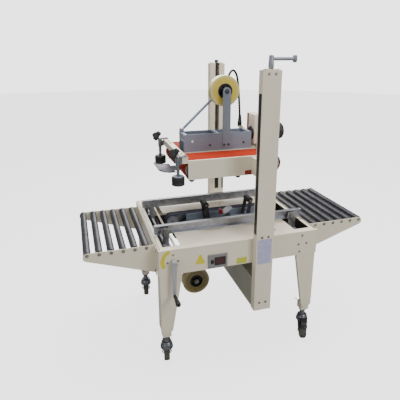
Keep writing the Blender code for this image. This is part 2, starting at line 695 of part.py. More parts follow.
def make_switch():
    """The switch plate on the front panel, and the rocker in its pocket."""
    back = -BED_HALF_WIDTH - GAP
    front = back - 0.0065
    base = block(-0.1800, -0.0820, front, back, 0.533, 0.605)
    pocket = block(-0.144, -0.096, front - 0.01, back - 0.0012, 0.5525, 0.5855)
    piece("switch_plate", GREY_PLASTIC, base, [("DIFFERENCE", [pocket])])
    outline = [(-0.1432, front), (-0.1305, front - 0.0012), (-0.1200, front), (-0.1095, front - 0.0012)]
    outline += [(-0.0968, front), (-0.0968, front + 0.0018), (-0.1200, front + 0.0045), (-0.1432, front + 0.0018)]
    rocker = bmesh.new()
    face = rocker.faces.new([rocker.verts.new((x, y, 0.553)) for x, y in outline])
    raised = bmesh.ops.extrude_face_region(rocker, geom=[face])["geom"]
    top = [item for item in raised if isinstance(item, bmesh.types.BMVert)]
    bmesh.ops.translate(rocker, vec=(0, 0, 0.032), verts=top)
    bmesh.ops.recalc_face_normals(rocker, faces=rocker.faces)
    piece("switch_rocker", RED_PLASTIC, rocker, origin=(-0.120, front + 0.003, 0.569))


def make_caster(name, side_x, side_y, swivel):
    """A swivel fork with trail, and its wheel. The fork is drawn trailing along -Y, then turned."""
    centre = Vector((side_x * CASTER_X, side_y * CASTER_Y, 0))
    top = CASTER_TOP - GAP
    axle = (-CASTER_TRAIL, WHEEL_RADIUS)
    dome = rod((0, 0, 0.098), (0, 0, 0.132), 0.033, 0.023)
    joins = [
        rod((0, 0, 0.131), (0, 0, top), 0.016),
        rod((0, 0, top - 0.006), (0, 0, top), 0.022),
        rod((-CHEEK_OUTER, *axle), (CHEEK_OUTER, *axle), 0.005, sides=8),
    ]
    cheek = [(0.026, 0.101), (-0.026, 0.120), (-0.044, 0.120), (-0.050, 0.112)]
    cheek += arc(axle, 0.013, 170, 330, 5)
    for inner, outer in ((CHEEK_INNER, CHEEK_OUTER), (-CHEEK_OUTER, -CHEEK_INNER)):
        # A plate is drawn across Y, so it's turned to stand across X.
        joins.append(rotated(plate(cheek, -outer, -inner), math.pi / 2, "Z"))
    turn = math.radians(swivel)
    for shape in [dome, *joins]:
        moved(rotated(shape, turn, "Z"), centre)
    piece(f"caster_fork_{name}", ZINC, dome, [("UNION", joins)], origin=(centre.x, centre.y, top))
    half = WHEEL_HALF_WIDTH
    radius = WHEEL_RADIUS
    profile = [
        (0.0056, -half - 0.0025),
        (0.012, -half - 0.0025),
        (radius - 0.014, -half),
        (radius - 0.003, -half),
        (radius, -half + 0.005),
    ]
    profile += [(distance, -y) for distance, y in reversed(profile)]
    wheel = rotated(turned(profile, 20), math.pi / 2, "Z")
    moved(wheel, (0, -CASTER_TRAIL, radius))
    moved(rotated(wheel, turn, "Z"), centre)
    hub = centre + Matrix.Rotation(turn, 3, "Z") @ Vector((0, -CASTER_TRAIL, radius))
    piece(f"caster_wheel_{name}", RUBBER, wheel, origin=hub)
    return centre, turn


def make_brake_pedal(centre, turn):
    """The foot brake over the wheel: a hinge pin across the fork and a sloping tread."""
    tread = [(-0.040, 0.111), (-0.044, 0.115), (-0.062, 0.109), (-0.083, 0.095), (-0.082, 0.091), (-0.060, 0.102)]
    pedal = rotated(plate(tread, -0.016, 0.016), math.pi / 2, "Z")
    pin = rod((-0.0185, -0.041, 0.112), (0.0185, -0.041, 0.112), 0.004, sides=12)
    for shape in (pedal, pin):
        moved(rotated(shape, turn, "Z"), centre)
    axis = centre + Matrix.Rotation(turn, 3, "Z") @ Vector((0, -0.041, 0.112))
    piece("brake_pedal", BLACK_PLASTIC, pedal, [("UNION", [pin])], origin=axis)


clear_scene()
machine = bpy.data.objects.new("machine", None)
machine.location = CENTRE_SHIFT
bpy.context.scene.collection.objects.link(machine)

make_bed()
for leg_name, leg_x, leg_y in (
    ("front_left", -1, -1),
    ("front_right", 1, -1),
    ("rear_left", -1, 1),
    ("rear_right", 1, 1),
):
    make_leg(f"leg_{leg_name}", leg_x, leg_y)
for caster_name, caster_x, caster_y, swivel_angle in (
    ("front_left", -1, -1, 170),
    ("front_right", 1, -1, -17),
    ("rear_left", -1, 1, 170),
    ("rear_right", 1, 1, 160),
):
    placed = make_caster(caster_name, caster_x, caster_y, swivel_angle)
    if caster_name == "front_right":
        make_brake_pedal(*placed)
make_column("column_front", -1, -1)
make_column("column_rear", 1, 1)
make_foot_beam()
for table_name, table_side in (("infeed", -1), ("outfeed", 1)):
    make_table(f"{table_name}_table", table_side)
    make_rollers(table_name, table_side)
for belt_side, belt_y in (("front", -1), ("rear", 1)):
    make_belt(f"lower_belt_{belt_side}", LOWER_BELT, belt_y, DARK_BELT)
    make_belt(f"upper_belt_{belt_side}", UPPER_BELT, belt_y, RED_BELT)
    make_guide_rail(f"guide_rail_{belt_side}", belt_y)
    make_side_press(f"press_{belt_side}", belt_y)
make_width_crank()
make_height_screws()
make_switch()
make_head_frame()
make_crossbar()
make_lower_tape_head()
make_upper_tape_head()
make_tape_arm("lower_apply_arm", (-0.069, 0.600), -0.021, 1)
make_tape_arm("lower_wipe_arm", (0.152, 0.600), 0.023, 1)
make_tape_arm("upper_apply_arm", (-0.147, 1.030), -0.023, -1)
make_tape_arm("upper_wipe_arm", (0.074, 1.030), 0.023, -1)
make_roll_arm()
make_tape_roll("upper_tape_roll", UPPER_ROLL)
make_tape_roll("lower_tape_roll", LOWER_ROLL)
make_upper_motor()
make_cable()
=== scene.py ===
# %% [markdown]
# # Carton sealer: a belt-driven case taper
# The real machine is a welded sheet-steel bed on four casters, with two columns that carry a sealing head.
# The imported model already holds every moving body, so this lesson dresses that frame: it keeps the plain
# folded panels, and replaces the turned and moulded parts with finer ones that ride on the same bodies.

# %% Load the frame and keep its size
import math

import bmesh
import bpy
from mathutils import Matrix, Vector


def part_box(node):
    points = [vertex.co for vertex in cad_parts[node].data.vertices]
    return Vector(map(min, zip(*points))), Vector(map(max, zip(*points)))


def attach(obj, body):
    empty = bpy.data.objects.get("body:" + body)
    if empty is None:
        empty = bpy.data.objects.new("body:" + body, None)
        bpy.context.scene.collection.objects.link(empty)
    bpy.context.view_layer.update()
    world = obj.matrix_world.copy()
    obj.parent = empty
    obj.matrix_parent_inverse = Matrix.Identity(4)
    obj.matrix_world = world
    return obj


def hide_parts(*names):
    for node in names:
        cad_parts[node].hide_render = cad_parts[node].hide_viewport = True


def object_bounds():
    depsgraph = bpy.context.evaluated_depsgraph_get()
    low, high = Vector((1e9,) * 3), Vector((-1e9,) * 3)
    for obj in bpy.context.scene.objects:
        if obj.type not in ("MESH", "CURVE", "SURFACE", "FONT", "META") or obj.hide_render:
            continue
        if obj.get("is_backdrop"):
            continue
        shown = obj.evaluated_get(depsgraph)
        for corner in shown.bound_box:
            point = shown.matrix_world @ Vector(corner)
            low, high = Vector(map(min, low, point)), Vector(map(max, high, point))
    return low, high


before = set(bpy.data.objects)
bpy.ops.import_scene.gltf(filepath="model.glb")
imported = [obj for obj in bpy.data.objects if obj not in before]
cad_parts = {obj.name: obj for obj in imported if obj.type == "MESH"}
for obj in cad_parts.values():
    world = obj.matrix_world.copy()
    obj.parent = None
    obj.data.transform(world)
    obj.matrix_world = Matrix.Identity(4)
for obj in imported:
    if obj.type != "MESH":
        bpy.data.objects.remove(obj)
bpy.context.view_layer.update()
bed_low, bed_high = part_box("bed_casing")
MIDDLE = (bed_low.y + bed_high.y) / 2

# %% [markdown]
# ## The camera
# The machine is seen by a standing person, from its infeed end and the operator's side. The camera comes
# first, so that every later test render shows the same view. It could be aimed with a constraint, but a
# fixed place and turn are easier to keep equal between renders.

# %% Camera
CAMERA_PLACE = (-0.7448, -2.138 + MIDDLE, 1.5832)
CAMERA_YAW = 18.095
CAMERA_PITCH = 17.163
CAMERA_ROLL = 0.304
CAMERA_LENS = 38.26
CAMERA_SHIFT = (-0.02975, -0.0585)
camera_data = bpy.data.cameras.new("camera")
camera_data.sensor_width = 36.0
camera_data.lens = CAMERA_LENS
camera_data.shift_x, camera_data.shift_y = CAMERA_SHIFT
camera = bpy.data.objects.new("camera", camera_data)
turn_side = Matrix.Rotation(math.radians(-CAMERA_YAW), 4, "Z")
turn_down = Matrix.Rotation(math.radians(90 - CAMERA_PITCH), 4, "X")
turn_roll = Matrix.Rotation(math.radians(CAMERA_ROLL), 4, "Z")
camera.matrix_world = Matrix.Translation(CAMERA_PLACE) @ turn_side @ turn_down @ turn_roll
bpy.context.scene.collection.objects.link(camera)
bpy.context.scene.camera = camera
print("camera at", tuple(round(v, 3) for v in CAMERA_PLACE))

# %% [markdown]
# ## Node helpers
# Materials here are procedural: small networks of noise and bands that read Object coordinates. One helper
# adds a node and fills its sockets, so that each recipe below reads like a list of ingredients.


# %% Helpers for node trees
def add(tree, kind, inputs=None, **settings):
    """One shader node; each input gets a value or a link from another socket."""
    made = tree.nodes.new("ShaderNode" + kind)
    for key, value in settings.items():
        setattr(made, key, value)
    for key, value in (inputs or {}).items():
        if isinstance(value, bpy.types.NodeSocket):
            tree.links.new(value, made.inputs[key])
        else:
            made.inputs[key].default_value = value
    return made


def new_group(name, inputs, outputs):
    """An empty node group with named sockets, and its two end nodes."""
    tree = bpy.data.node_groups.new(name, "ShaderNodeTree")
    for label, kind, value in inputs:
        socket = tree.interface.new_socket(name=label, in_out="INPUT", socket_type="NodeSocket" + kind)
        socket.default_value = value
    for label, kind in outputs:
        tree.interface.new_socket(name=label, in_out="OUTPUT", socket_type="NodeSocket" + kind)
    print(f"group {name}: {len(inputs)} inputs")
    return tree, tree.nodes.new("NodeGroupInput").outputs, tree.nodes.new("NodeGroupOutput").inputs


def mixed(tree, factor, first, second, blend="MIX"):
    """A colour between two others."""
    made = add(tree, "Mix", {0: factor, 6: first, 7: second}, data_type="RGBA", blend_type=blend)
    return made.outputs[2]


SURFACE_OUTPUTS = (("Colour", "Color"), ("Roughness", "Float"), ("Height", "Float"))

# %% [markdown]
# ## Shared surface effects
# Sprayed powder coat is never one colour: it has faint clouds, a fine orange-peel bump, and dust that
# gathers low down. Rolled steel has streaks, galvanised steel has crystals, and belts have a weave. Each
# effect is built once as a node group, and every material gives it its own values.

# %% Patches and grain, for paint, plastic and rubber
tree, given, result = new_group(
    "Patches and grain",
    (
        ("Colour", "Color", (0.8, 0.8, 0.8, 1)),
        ("Worn colour", "Color", (0.6, 0.6, 0.6, 1)),
        ("Patch scale", "Float", 6.0),
        ("Patch amount", "Float", 0.3),
        ("Roughness", "Float", 0.4),
        ("Spread", "Float", 0.1),
        ("Grain scale", "Float", 400.0),
        ("Dust height", "Float", 0.25),
        ("Dust amount", "Float", 0.0),
    ),
    SURFACE_OUTPUTS,
)
place = add(tree, "TexCoord").outputs["Object"]
patch = add(
    tree, "TexNoise", {"Vector": place, "Scale": given["Patch scale"], "Detail": 5.0, "Roughness": 0.62}
)
spots = add(tree, "MapRange", {"Value": patch.outputs["Fac"], "From Min": 0.36, "From Max": 0.66}).outputs[0]
share = add(tree, "Math", {0: spots, 1: given["Patch amount"]}, operation="MULTIPLY").outputs[0]
colour = mixed(tree, share, given["Colour"], given["Worn colour"])
height = add(tree, "SeparateXYZ", {0: place}).outputs["Z"]
low = add(
    tree, "MapRange",
    {"Value": height, "From Min": 0.0, "From Max": given["Dust height"], "To Min": 1.0, "To Max": 0.0}
)
dust = add(tree, "Math", {0: low.outputs[0], 1: given["Dust amount"]}, operation="MULTIPLY").outputs[0]
speckle = add(tree, "Math", {0: patch.outputs["Fac"], 1: dust}, operation="MULTIPLY").outputs[0]
colour = mixed(tree, speckle, colour, (0.30, 0.27, 0.23, 1))
tree.links.new(colour, result["Colour"])
rough = add(
    tree, "Math", {0: spots, 1: given["Spread"], 2: given["Roughness"]}, operation="MULTIPLY_ADD"
).outputs[0]
rough = add(tree, "Math", {0: dust, 1: 0.3, 2: rough}, operation="MULTIPLY_ADD", use_clamp=True).outputs[0]
tree.links.new(rough, result["Roughness"])
grain = add(tree, "TexNoise", {"Vector": place, "Scale": given["Grain scale"], "Detail": 2.0})
tree.links.new(grain.outputs["Fac"], result["Height"])

# %% Streaks, for drawn and brushed metal
tree, given, result = new_group(
    "Metal streaks",
    (
        ("Colour", "Color", (0.6, 0.6, 0.6, 1)),
        ("Worn colour", "Color", (0.4, 0.4, 0.4, 1)),
        ("Stretch", "Vector", (8.0, 300.0, 8.0)),
        ("Roughness", "Float", 0.25),
        ("Spread", "Float", 0.2),
    ),
    SURFACE_OUTPUTS,
)
place = add(tree, "TexCoord").outputs["Object"]
long = add(tree, "VectorMath", {0: place, 1: given["Stretch"]}, operation="MULTIPLY").outputs[0]
lines = add(tree, "TexNoise", {"Vector": long, "Scale": 1.0, "Detail": 4.0, "Roughness": 0.7}).outputs["Fac"]
stain = add(tree, "TexNoise", {"Vector": place, "Scale": 9.0, "Detail": 4.0}).outputs["Fac"]
both = add(tree, "Math", {0: lines, 1: stain}, operation="MULTIPLY").outputs[0]
share = add(tree, "MapRange", {"Value": both, "From Min": 0.12, "From Max": 0.42}).outputs[0]
tree.links.new(mixed(tree, share, given["Worn colour"], given["Colour"]), result["Colour"])
rough = add(
    tree, "Math", {0: lines, 1: given["Spread"], 2: given["Roughness"]}, operation="MULTIPLY_ADD",
    use_clamp=True
)
tree.links.new(rough.outputs[0], result["Roughness"])
tree.links.new(lines, result["Height"])

# %% Crystals, for galvanised steel
tree, given, result = new_group(
    "Zinc crystals",
    (
        ("Colour", "Color", (0.6, 0.6, 0.6, 1)),
        ("Worn colour", "Color", (0.4, 0.4, 0.4, 1)),
        ("Crystal scale", "Float", 60.0),
        ("Roughness", "Float", 0.3),
        ("Spread", "Float", 0.2),
    ),
    SURFACE_OUTPUTS,
)
place = add(tree, "TexCoord").outputs["Object"]
cells = add(tree, "TexVoronoi", {"Vector": place, "Scale": given["Crystal scale"]})
grey = add(tree, "RGBToBW", {0: cells.outputs["Color"]}).outputs[0]
tree.links.new(mixed(tree, grey, given["Worn colour"], given["Colour"]), result["Colour"])
rough = add(
    tree, "Math", {0: grey, 1: given["Spread"], 2: given["Roughness"]}, operation="MULTIPLY_ADD",
    use_clamp=True
)
tree.links.new(rough.outputs[0], result["Roughness"])
tree.links.new(cells.outputs["Distance"], result["Height"])

# %% Weave, for the drive belts
tree, given, result = new_group(
    "Belt weave",
    (
        ("Colour", "Color", (0.6, 0.1, 0.05, 1)),
        ("Worn colour", "Color", (0.3, 0.05, 0.03, 1)),
        ("Thread scale", "Float", 160.0),
        ("Roughness", "Float", 0.6),
        ("Spread", "Float", 0.15),
    ),
    SURFACE_OUTPUTS,
)
place = add(tree, "TexCoord").outputs["Object"]
along = add(
    tree, "TexWave", {"Vector": place, "Scale": given["Thread scale"], "Distortion": 0.3}, bands_direction="X"
)
across = add(
    tree, "TexWave", {"Vector": place, "Scale": given["Thread scale"], "Distortion": 0.3}, bands_direction="Y"
)
cloth = add(tree, "Math", {0: along.outputs["Fac"], 1: across.outputs["Fac"]}, operation="MAXIMUM").outputs[0]
smear = add(tree, "VectorMath", {0: place, 1: (3.0, 45.0, 12.0)}, operation="MULTIPLY").outputs[0]
rubbed = add(tree, "TexNoise", {"Vector": smear, "Scale": 1.0, "Detail": 5.0}).outputs["Fac"]
share = add(
    tree, "MapRange", {"Value": rubbed, "From Min": 0.42, "From Max": 0.75, "To Max": 0.55}
).outputs[0]
tree.links.new(mixed(tree, share, given["Colour"], given["Worn colour"]), result["Colour"])
rough = add(
    tree, "Math", {0: rubbed, 1: given["Spread"], 2: given["Roughness"]}, operation="MULTIPLY_ADD",
    use_clamp=True
)
tree.links.new(rough.outputs[0], result["Roughness"])
tree.links.new(cloth, result["Height"])

# %% Wound layers, for rolls of tape
tree, given, result = new_group(
    "Wound layers",
    (
        ("Colour", "Color", (0.8, 0.7, 0.3, 1)),
        ("Worn colour", "Color", (0.6, 0.5, 0.2, 1)),
        ("Centre", "Vector", (0.0, 0.0, 0.0)),
        ("Rim colour", "Color", (0.9, 0.88, 0.7, 1)),
        ("Layer scale", "Float", 900.0),
        ("Roughness", "Float", 0.2),
        ("Spread", "Float", 0.15),
    ),
    SURFACE_OUTPUTS,
)
place = add(tree, "TexCoord").outputs["Object"]
offset = add(tree, "VectorMath", {0: place, 1: given["Centre"]}, operation="SUBTRACT").outputs[0]
flat = add(tree, "VectorMath", {0: offset, 1: (1.0, 0.0, 1.0)}, operation="MULTIPLY").outputs[0]
radius = add(tree, "VectorMath", {0: flat}, operation="LENGTH").outputs["Value"]
layers = add(tree, "CombineXYZ", {0: radius}).outputs[0]
rings = add(tree, "TexNoise", {"Vector": layers, "Scale": given["Layer scale"], "Detail": 3.0}).outputs["Fac"]
share = add(tree, "MapRange", {"Value": rings, "From Min": 0.35, "From Max": 0.65}).outputs[0]
wound = mixed(tree, share, given["Colour"], given["Worn colour"])
rim = add(tree, "MapRange", {"Value": radius, "From Min": 0.060, "From Max": 0.079}).outputs[0]
tree.links.new(mixed(tree, rim, wound, given["Rim colour"]), result["Colour"])
rough = add(
    tree, "Math", {0: rings, 1: given["Spread"], 2: given["Roughness"]}, operation="MULTIPLY_ADD",
    use_clamp=True
)
tree.links.new(rough.outputs[0], result["Roughness"])
tree.links.new(rings, result["Height"])
print("node groups:", len(bpy.data.node_groups))

# %% [markdown]
# ## Finishes
# Each finish is one material: a group gives the colour, roughness and height that change over the surface,
# and the shader keeps what is the same everywhere, such as how metallic it is or its clear coat.

# %% One recipe for every finish
FINISH = {}


def finish(name, effect, values, metallic=0.0, bump=0.1, depth=0.0005, coat=0.0):
    """A material whose surface comes from one of the groups above."""
    material = bpy.data.materials.new(name)
    material.use_nodes = True
    tree = material.node_tree
    shader = tree.nodes["Principled BSDF"]
    surface = tree.nodes.new("ShaderNodeGroup")
    surface.node_tree = bpy.data.node_groups[effect]
    for key, value in values.items():
        surface.inputs[key].default_value = (*value, 1.0) if "colour" in key.lower() else value
    tree.links.new(surface.outputs["Colour"], shader.inputs["Base Color"])
    tree.links.new(surface.outputs["Roughness"], shader.inputs["Roughness"])
    raised = add(tree, "Bump", {"Height": surface.outputs["Height"], "Strength": bump, "Distance": depth})
    tree.links.new(raised.outputs["Normal"], shader.inputs["Normal"])
    shader.inputs["Metallic"].default_value = metallic
    shader.inputs["Coat Weight"].default_value = coat
    shader.inputs["Coat Roughness"].default_value = 0.15
    FINISH[name] = material


PATCHES = "Patches and grain"


def coated(name, colour, worn, roughness, grain=400.0, patch=6.0, amount=0.3, dust=0.0, **look):
    """A paint, plastic, rubber or card finish: fine grain, broad patches, and dust low down."""
    values = {
        "Colour": colour,
        "Worn colour": worn,
        "Roughness": roughness,
        "Grain scale": grain,
        "Patch scale": patch,
        "Patch amount": amount,
        "Dust amount": dust,
    }
    finish(name, PATCHES, values, **look)


CREAM = (0.76, 0.70, 0.55)
coated("cream_paint", CREAM, (0.66, 0.60, 0.46), 0.36, 260.0, 5.0, 0.4, 0.9, bump=0.12, coat=0.15)
# The foot beam's darker, greener cream is painted shade: the frame's cream as it looks in the shade low under
# the bed.
coated("beam_painted_shade", (0.33, 0.325, 0.265), (0.27, 0.265, 0.21), 0.45, 260.0, 5.0, 0.4, 1.2, bump=0.12)
GREY, GREY_WORN = (0.205, 0.240, 0.300), (0.150, 0.178, 0.228)
coated("grey_paint", GREY, GREY_WORN, 0.40, 500.0, 9.0, 0.5, metallic=0.08, coat=0.15)
coated("motor_paint", (0.010, 0.010, 0.011), (0.03, 0.03, 0.03), 0.42, 320.0, 8.0, bump=0.2)
coated("black_plastic", (0.008, 0.008, 0.009), (0.02, 0.02, 0.02), 0.40, 700.0, bump=0.2)
coated("switch_grey", (0.22, 0.215, 0.22), (0.17, 0.165, 0.17), 0.5, 700.0, bump=0.15)
coated("switch_red", (0.045, 0.002, 0.004), (0.028, 0.001, 0.002), 0.28, 500.0, coat=0.3)
coated("tyre_rubber", (0.014, 0.014, 0.015), (0.06, 0.058, 0.055), 0.7, 600.0, 30.0, 0.4, 0.5, bump=0.3)
coated("press_rubber", (0.012, 0.012, 0.013), (0.03, 0.03, 0.03), 0.6, 500.0, bump=0.25)
coated("cable_jacket", (0.010, 0.010, 0.011), (0.03, 0.03, 0.03), 0.45, 500.0, bump=0.15)
coated("label_lilac", (0.36, 0.35, 0.56), (0.50, 0.50, 0.66), 0.35, 300.0, 60.0, 0.8, coat=0.3)
coated("label_yellow", (0.68, 0.57, 0.014), (0.56, 0.46, 0.010), 0.35, 300.0, 30.0, 0.6, coat=0.3)
coated("label_lime", (0.50, 0.52, 0.035), (0.40, 0.44, 0.025), 0.35, 300.0, 60.0, 0.6, coat=0.3)
coated("label_red", (0.28, 0.012, 0.010), (0.20, 0.010, 0.009), 0.35, 300.0, 60.0, 0.6, coat=0.3)
coated("white_nylon", (0.74, 0.74, 0.71), (0.62, 0.62, 0.60), 0.45, 400.0)
coated("core_card", (0.30, 0.21, 0.12), (0.24, 0.17, 0.09), 0.75, 300.0, 40.0, 0.6, bump=0.25)


def steel(name, metallic, colour, worn, roughness, stretch=(8.0, 8.0, 300.0), spread=0.2):
    """A rolled or turned metal finish, with streaks drawn out along the short side of its stretch."""
    values = {"Colour": colour, "Worn colour": worn, "Roughness": roughness}
    values.update({"Stretch": stretch, "Spread": spread})
    finish(name, "Metal streaks", values, metallic)


ROUND_Y = (14.0, 420.0, 14.0)
steel("roller_steel", 1.0, (0.15, 0.15, 0.165), (0.07, 0.07, 0.08), 0.30, ROUND_Y)
steel("bright_steel", 1.0, (0.33, 0.33, 0.36), (0.20, 0.20, 0.23), 0.32)
steel("dark_steel", 0.8, (0.10, 0.10, 0.11), (0.04, 0.04, 0.045), 0.38)
steel("crank_steel", 0.55, (0.52, 0.52, 0.54), (0.40, 0.40, 0.43), 0.34)
steel("satin_steel", 0.5, (0.27, 0.28, 0.32), (0.20, 0.21, 0.24), 0.42)
steel("bolt_steel", 1.0, (0.40, 0.37, 0.33), (0.24, 0.22, 0.19), 0.42, (90.0, 90.0, 90.0))
CRYSTALS = {
    "Colour": (0.40, 0.41, 0.44), "Worn colour": (0.26, 0.27, 0.30), "Crystal scale": 70.0, "Roughness": 0.3
}
finish("zinc_steel", "Zinc crystals", CRYSTALS, 0.85, bump=0.03)
DARK_CRYSTALS = {
    "Colour": (0.20, 0.205, 0.23), "Worn colour": (0.12, 0.125, 0.14), "Crystal scale": 120.0,
    "Roughness": 0.25
}
finish("caster_zinc", "Zinc crystals", DARK_CRYSTALS, 0.85, bump=0.03)
RED_CLOTH = {"Colour": (0.30, 0.017, 0.001), "Worn colour": (0.19, 0.008, 0.001), "Thread scale": 160.0}
finish("red_belt", "Belt weave", RED_CLOTH, bump=0.25, depth=0.0004)
FINISH["red_belt"].node_tree.nodes["Principled BSDF"].inputs["Specular IOR Level"].default_value = 0.15
DARK_CLOTH = {"Colour": (0.016, 0.019, 0.042), "Worn colour": (0.008, 0.009, 0.016), "Thread scale": 160.0}
finish("dark_belt", "Belt weave", DARK_CLOTH, bump=0.25, depth=0.0004)


def tape_values(node, colour, worn, rim):
    """Values for a roll of tape that is wound about the middle of a frame node."""
    low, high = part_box(node)
    return {
        "Colour": colour, "Worn colour": worn, "Rim colour": rim, "Centre": (low + high) / 2,
        "Roughness": 0.14
    }


UPPER_TAPE = tape_values("upper_tape_roll", (0.68, 0.55, 0.085), (0.55, 0.43, 0.06), (0.66, 0.58, 0.24))
LOWER_TAPE = tape_values("lower_tape_roll", (0.20, 0.155, 0.040), (0.13, 0.10, 0.028), (0.34, 0.28, 0.12))
finish("tape", "Wound layers", UPPER_TAPE, bump=0.15, coat=0.5)
finish("lower_tape", "Wound layers", LOWER_TAPE, bump=0.15, coat=0.5)
print("finishes:", len(FINISH))

# %% [markdown]
# ## Finishes on the kept panels
# The folded panels of the frame are already the right shape, so they stay as they are, and only their
# material slots change.

# %% Dress the kept panels
KEPT = {
    "cream_paint": ["bed_casing", "column_front", "column_rear", "infeed_table", "outfeed_table"],
    "beam_painted_shade": ["foot_beam"],
    "grey_paint": ["lower_tape_head", "upper_tape_head", "roll_arm"],
    "zinc_steel": ["guide_rail_front", "guide_rail_rear"],
    "switch_grey": ["switch_plate"],
    "switch_red": ["switch_rocker"],
}
KEPT["cream_paint"] += [f"leg_{end}_{side}" for end in ("front", "rear") for side in ("left", "right")]
KEPT["cream_paint"] += ["head_frame", "infeed_crossbar"]
for finish_name, node_names in KEPT.items():
    for node_name in node_names:
        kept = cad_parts[node_name]
        for material_slot in kept.material_slots:
            material_slot.material = FINISH[finish_name]
print("kept panels:", sum(len(names) for names in KEPT.values()))

# %% [markdown]
# ## Shape helpers
# A machine shop makes most parts in three ways: it saws bar, it cuts and folds plate, and it turns round
# stock. Each helper below is one of those ways, built from a bmesh operator, and all of them work about the
# machine's own middle line.

# %% Bars, plates and turned shapes
TURN_TO = {
    "X": Matrix.Rotation(math.pi / 2, 4, "Y"),
    "Y": Matrix.Rotation(-math.pi / 2, 4, "X"),
    "Z": Matrix.Identity(4),
}


def rounded(shape, edge, sharp=30.0, segments=2):
    """Rounds every edge that turns by more than sharp degrees."""
    limit = math.radians(sharp)
    edges = [e for e in shape.edges if e.is_manifold and e.calc_face_angle() > limit]
    if edge > 0 and edges:
        bmesh.ops.bevel(
            shape, geom=edges, offset=edge, affect="EDGES", segments=segments, profile=0.5, material=-1,
            clamp_overlap=True
        )
    return shape


def block(x0, x1, y0, y1, z0, z1, edge=0.0008):
    """A sawn bar between three pairs of coordinates, its edges broken."""
    shape = bmesh.new()
    bmesh.ops.create_cube(shape, size=1.0)
    size = Matrix.Diagonal((abs(x1 - x0), abs(y1 - y0), abs(z1 - z0), 1.0))
    centre = Matrix.Translation(((x0 + x1) / 2, (y0 + y1) / 2, (z0 + z1) / 2))
    bmesh.ops.transform(shape, matrix=centre @ size, verts=shape.verts)
    return rounded(shape, edge)


def turned(profile, place=(0, 0, 0), axis="Z", sides=40, closed=False):
    """A profile of (radius, distance along the axis) turned through a full circle."""
    shape = bmesh.new()
    corners = [shape.verts.new((radius, 0, along)) for radius, along in profile]
    ends = corners[1:] + (corners[:1] if closed else [])
    edges = [shape.edges.new(pair) for pair in zip(corners, ends)]
    bmesh.ops.spin(
        shape, geom=corners + edges, cent=(0, 0, 0), axis=(0, 0, 1), angle=math.tau, steps=sides,
        use_merge=True
    )
    bmesh.ops.remove_doubles(shape, verts=shape.verts, dist=1e-6)
    bmesh.ops.recalc_face_normals(shape, faces=shape.faces)
    turn = TURN_TO[axis] if isinstance(axis, str) else axis
    bmesh.ops.transform(shape, matrix=Matrix.Translation(place) @ turn, verts=shape.verts)
    return shape


def bar(start, end, radius, end_radius=None, sides=20, edge=0.0006):
    """A round bar or a cone between two points, its end edges broken."""
    start = Vector(start)
    along = Vector(end) - start
    shape = bmesh.new()
    end_radius = radius if end_radius is None else end_radius
    bmesh.ops.create_cone(
        shape, cap_ends=True, segments=sides, radius1=radius, radius2=end_radius, depth=along.length
    )
    rounded(shape, edge, 60.0, 1)
    turn = along.to_track_quat("Z", "Y").to_matrix().to_4x4()
    bmesh.ops.transform(shape, matrix=Matrix.Translation(start + along / 2) @ turn, verts=shape.verts)
    return shape


def plate(outline, y0, y1, edge=0.0005):
    """An outline of (x, z) points cut from plate that lies across Y."""
    shape = bmesh.new()
    face = shape.faces.new([shape.verts.new((x, y0, z)) for x, z in outline])
    raised = bmesh.ops.extrude_face_region(shape, geom=[face])["geom"]
    bmesh.ops.translate(
        shape, vec=(0, y1 - y0, 0), verts=[v for v in raised if isinstance(v, bmesh.types.BMVert)]
    )
    bmesh.ops.recalc_face_normals(shape, faces=shape.faces)
    return rounded(shape, edge, 40.0, 1)


def arc(centre, radius, start, end, steps=12):
    """Points on a round stretch of an outline, from one angle in degrees to another."""
    angles = [math.radians(start + (end - start) * i / steps) for i in range(steps + 1)]
    return [(centre[0] + radius * math.cos(a), centre[1] + radius * math.sin(a)) for a in angles]


def link(low, high, low_radius, high_radius):
    """A flat link with round ends, from its low end to its high end."""
    lean = math.degrees(math.atan2(high[0] - low[0], high[1] - low[1]))
    return arc(high, high_radius, -lean, 180 - lean) + arc(low, low_radius, 180 - lean, 360 - lean)


def shifted(shape, offset):
    """The same shape, moved by offset."""
    bmesh.ops.translate(shape, vec=offset, verts=shape.verts)
    return shape


def spun(shape, degrees, axis="Z", centre=(0, 0, 0)):
    """The same shape, turned about an axis through centre."""
    turn = Matrix.Rotation(math.radians(degrees), 3, axis)
    bmesh.ops.rotate(shape, cent=centre, matrix=turn, verts=shape.verts)
    return shape


# %% [markdown]
# ## From shapes to a piece
# A piece is one object on one body. Its shapes are grouped by finish, so that a wheel can have a steel
# core and a rubber tyre. Its place stays in the mesh, with the object at the origin.


# %% Join shapes into one piece
def piece(name, body, parts, stands_for=()):
    """One object from {finish: shapes}, riding on a body and standing for the frame's own nodes."""
    whole = bmesh.new()
    for index, shapes in enumerate(parts.values()):
        for shape in shapes:
            for face in shape.faces:
                face.material_index = index
            part = bpy.data.meshes.new("part")
            shape.to_mesh(part)
            shape.free()
            whole.from_mesh(part)
            bpy.data.meshes.remove(part)
    bmesh.ops.translate(whole, vec=(0, MIDDLE, 0), verts=whole.verts)
    mesh = bpy.data.meshes.new(name)
    whole.to_mesh(mesh)
    whole.free()
    for finish_name in parts:
        mesh.materials.append(FINISH[finish_name])
    mesh.shade_smooth()
    mesh.set_sharp_from_angle(angle=math.radians(38))
    made = bpy.data.objects.new(name, mesh)
    bpy.context.scene.collection.objects.link(made)
    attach(made, body)
    if stands_for:
        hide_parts(*stands_for)
    print(f"{name}: {len(mesh.polygons)} faces, rides on {body}")
    return made


def span(node):
    """(x0, x1, y0, y1, z0, z1) of a frame node, about the machine's middle line."""
    low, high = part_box(node)
    return low.x, high.x, low.y - MIDDLE, high.y - MIDDLE, low.z, high.z


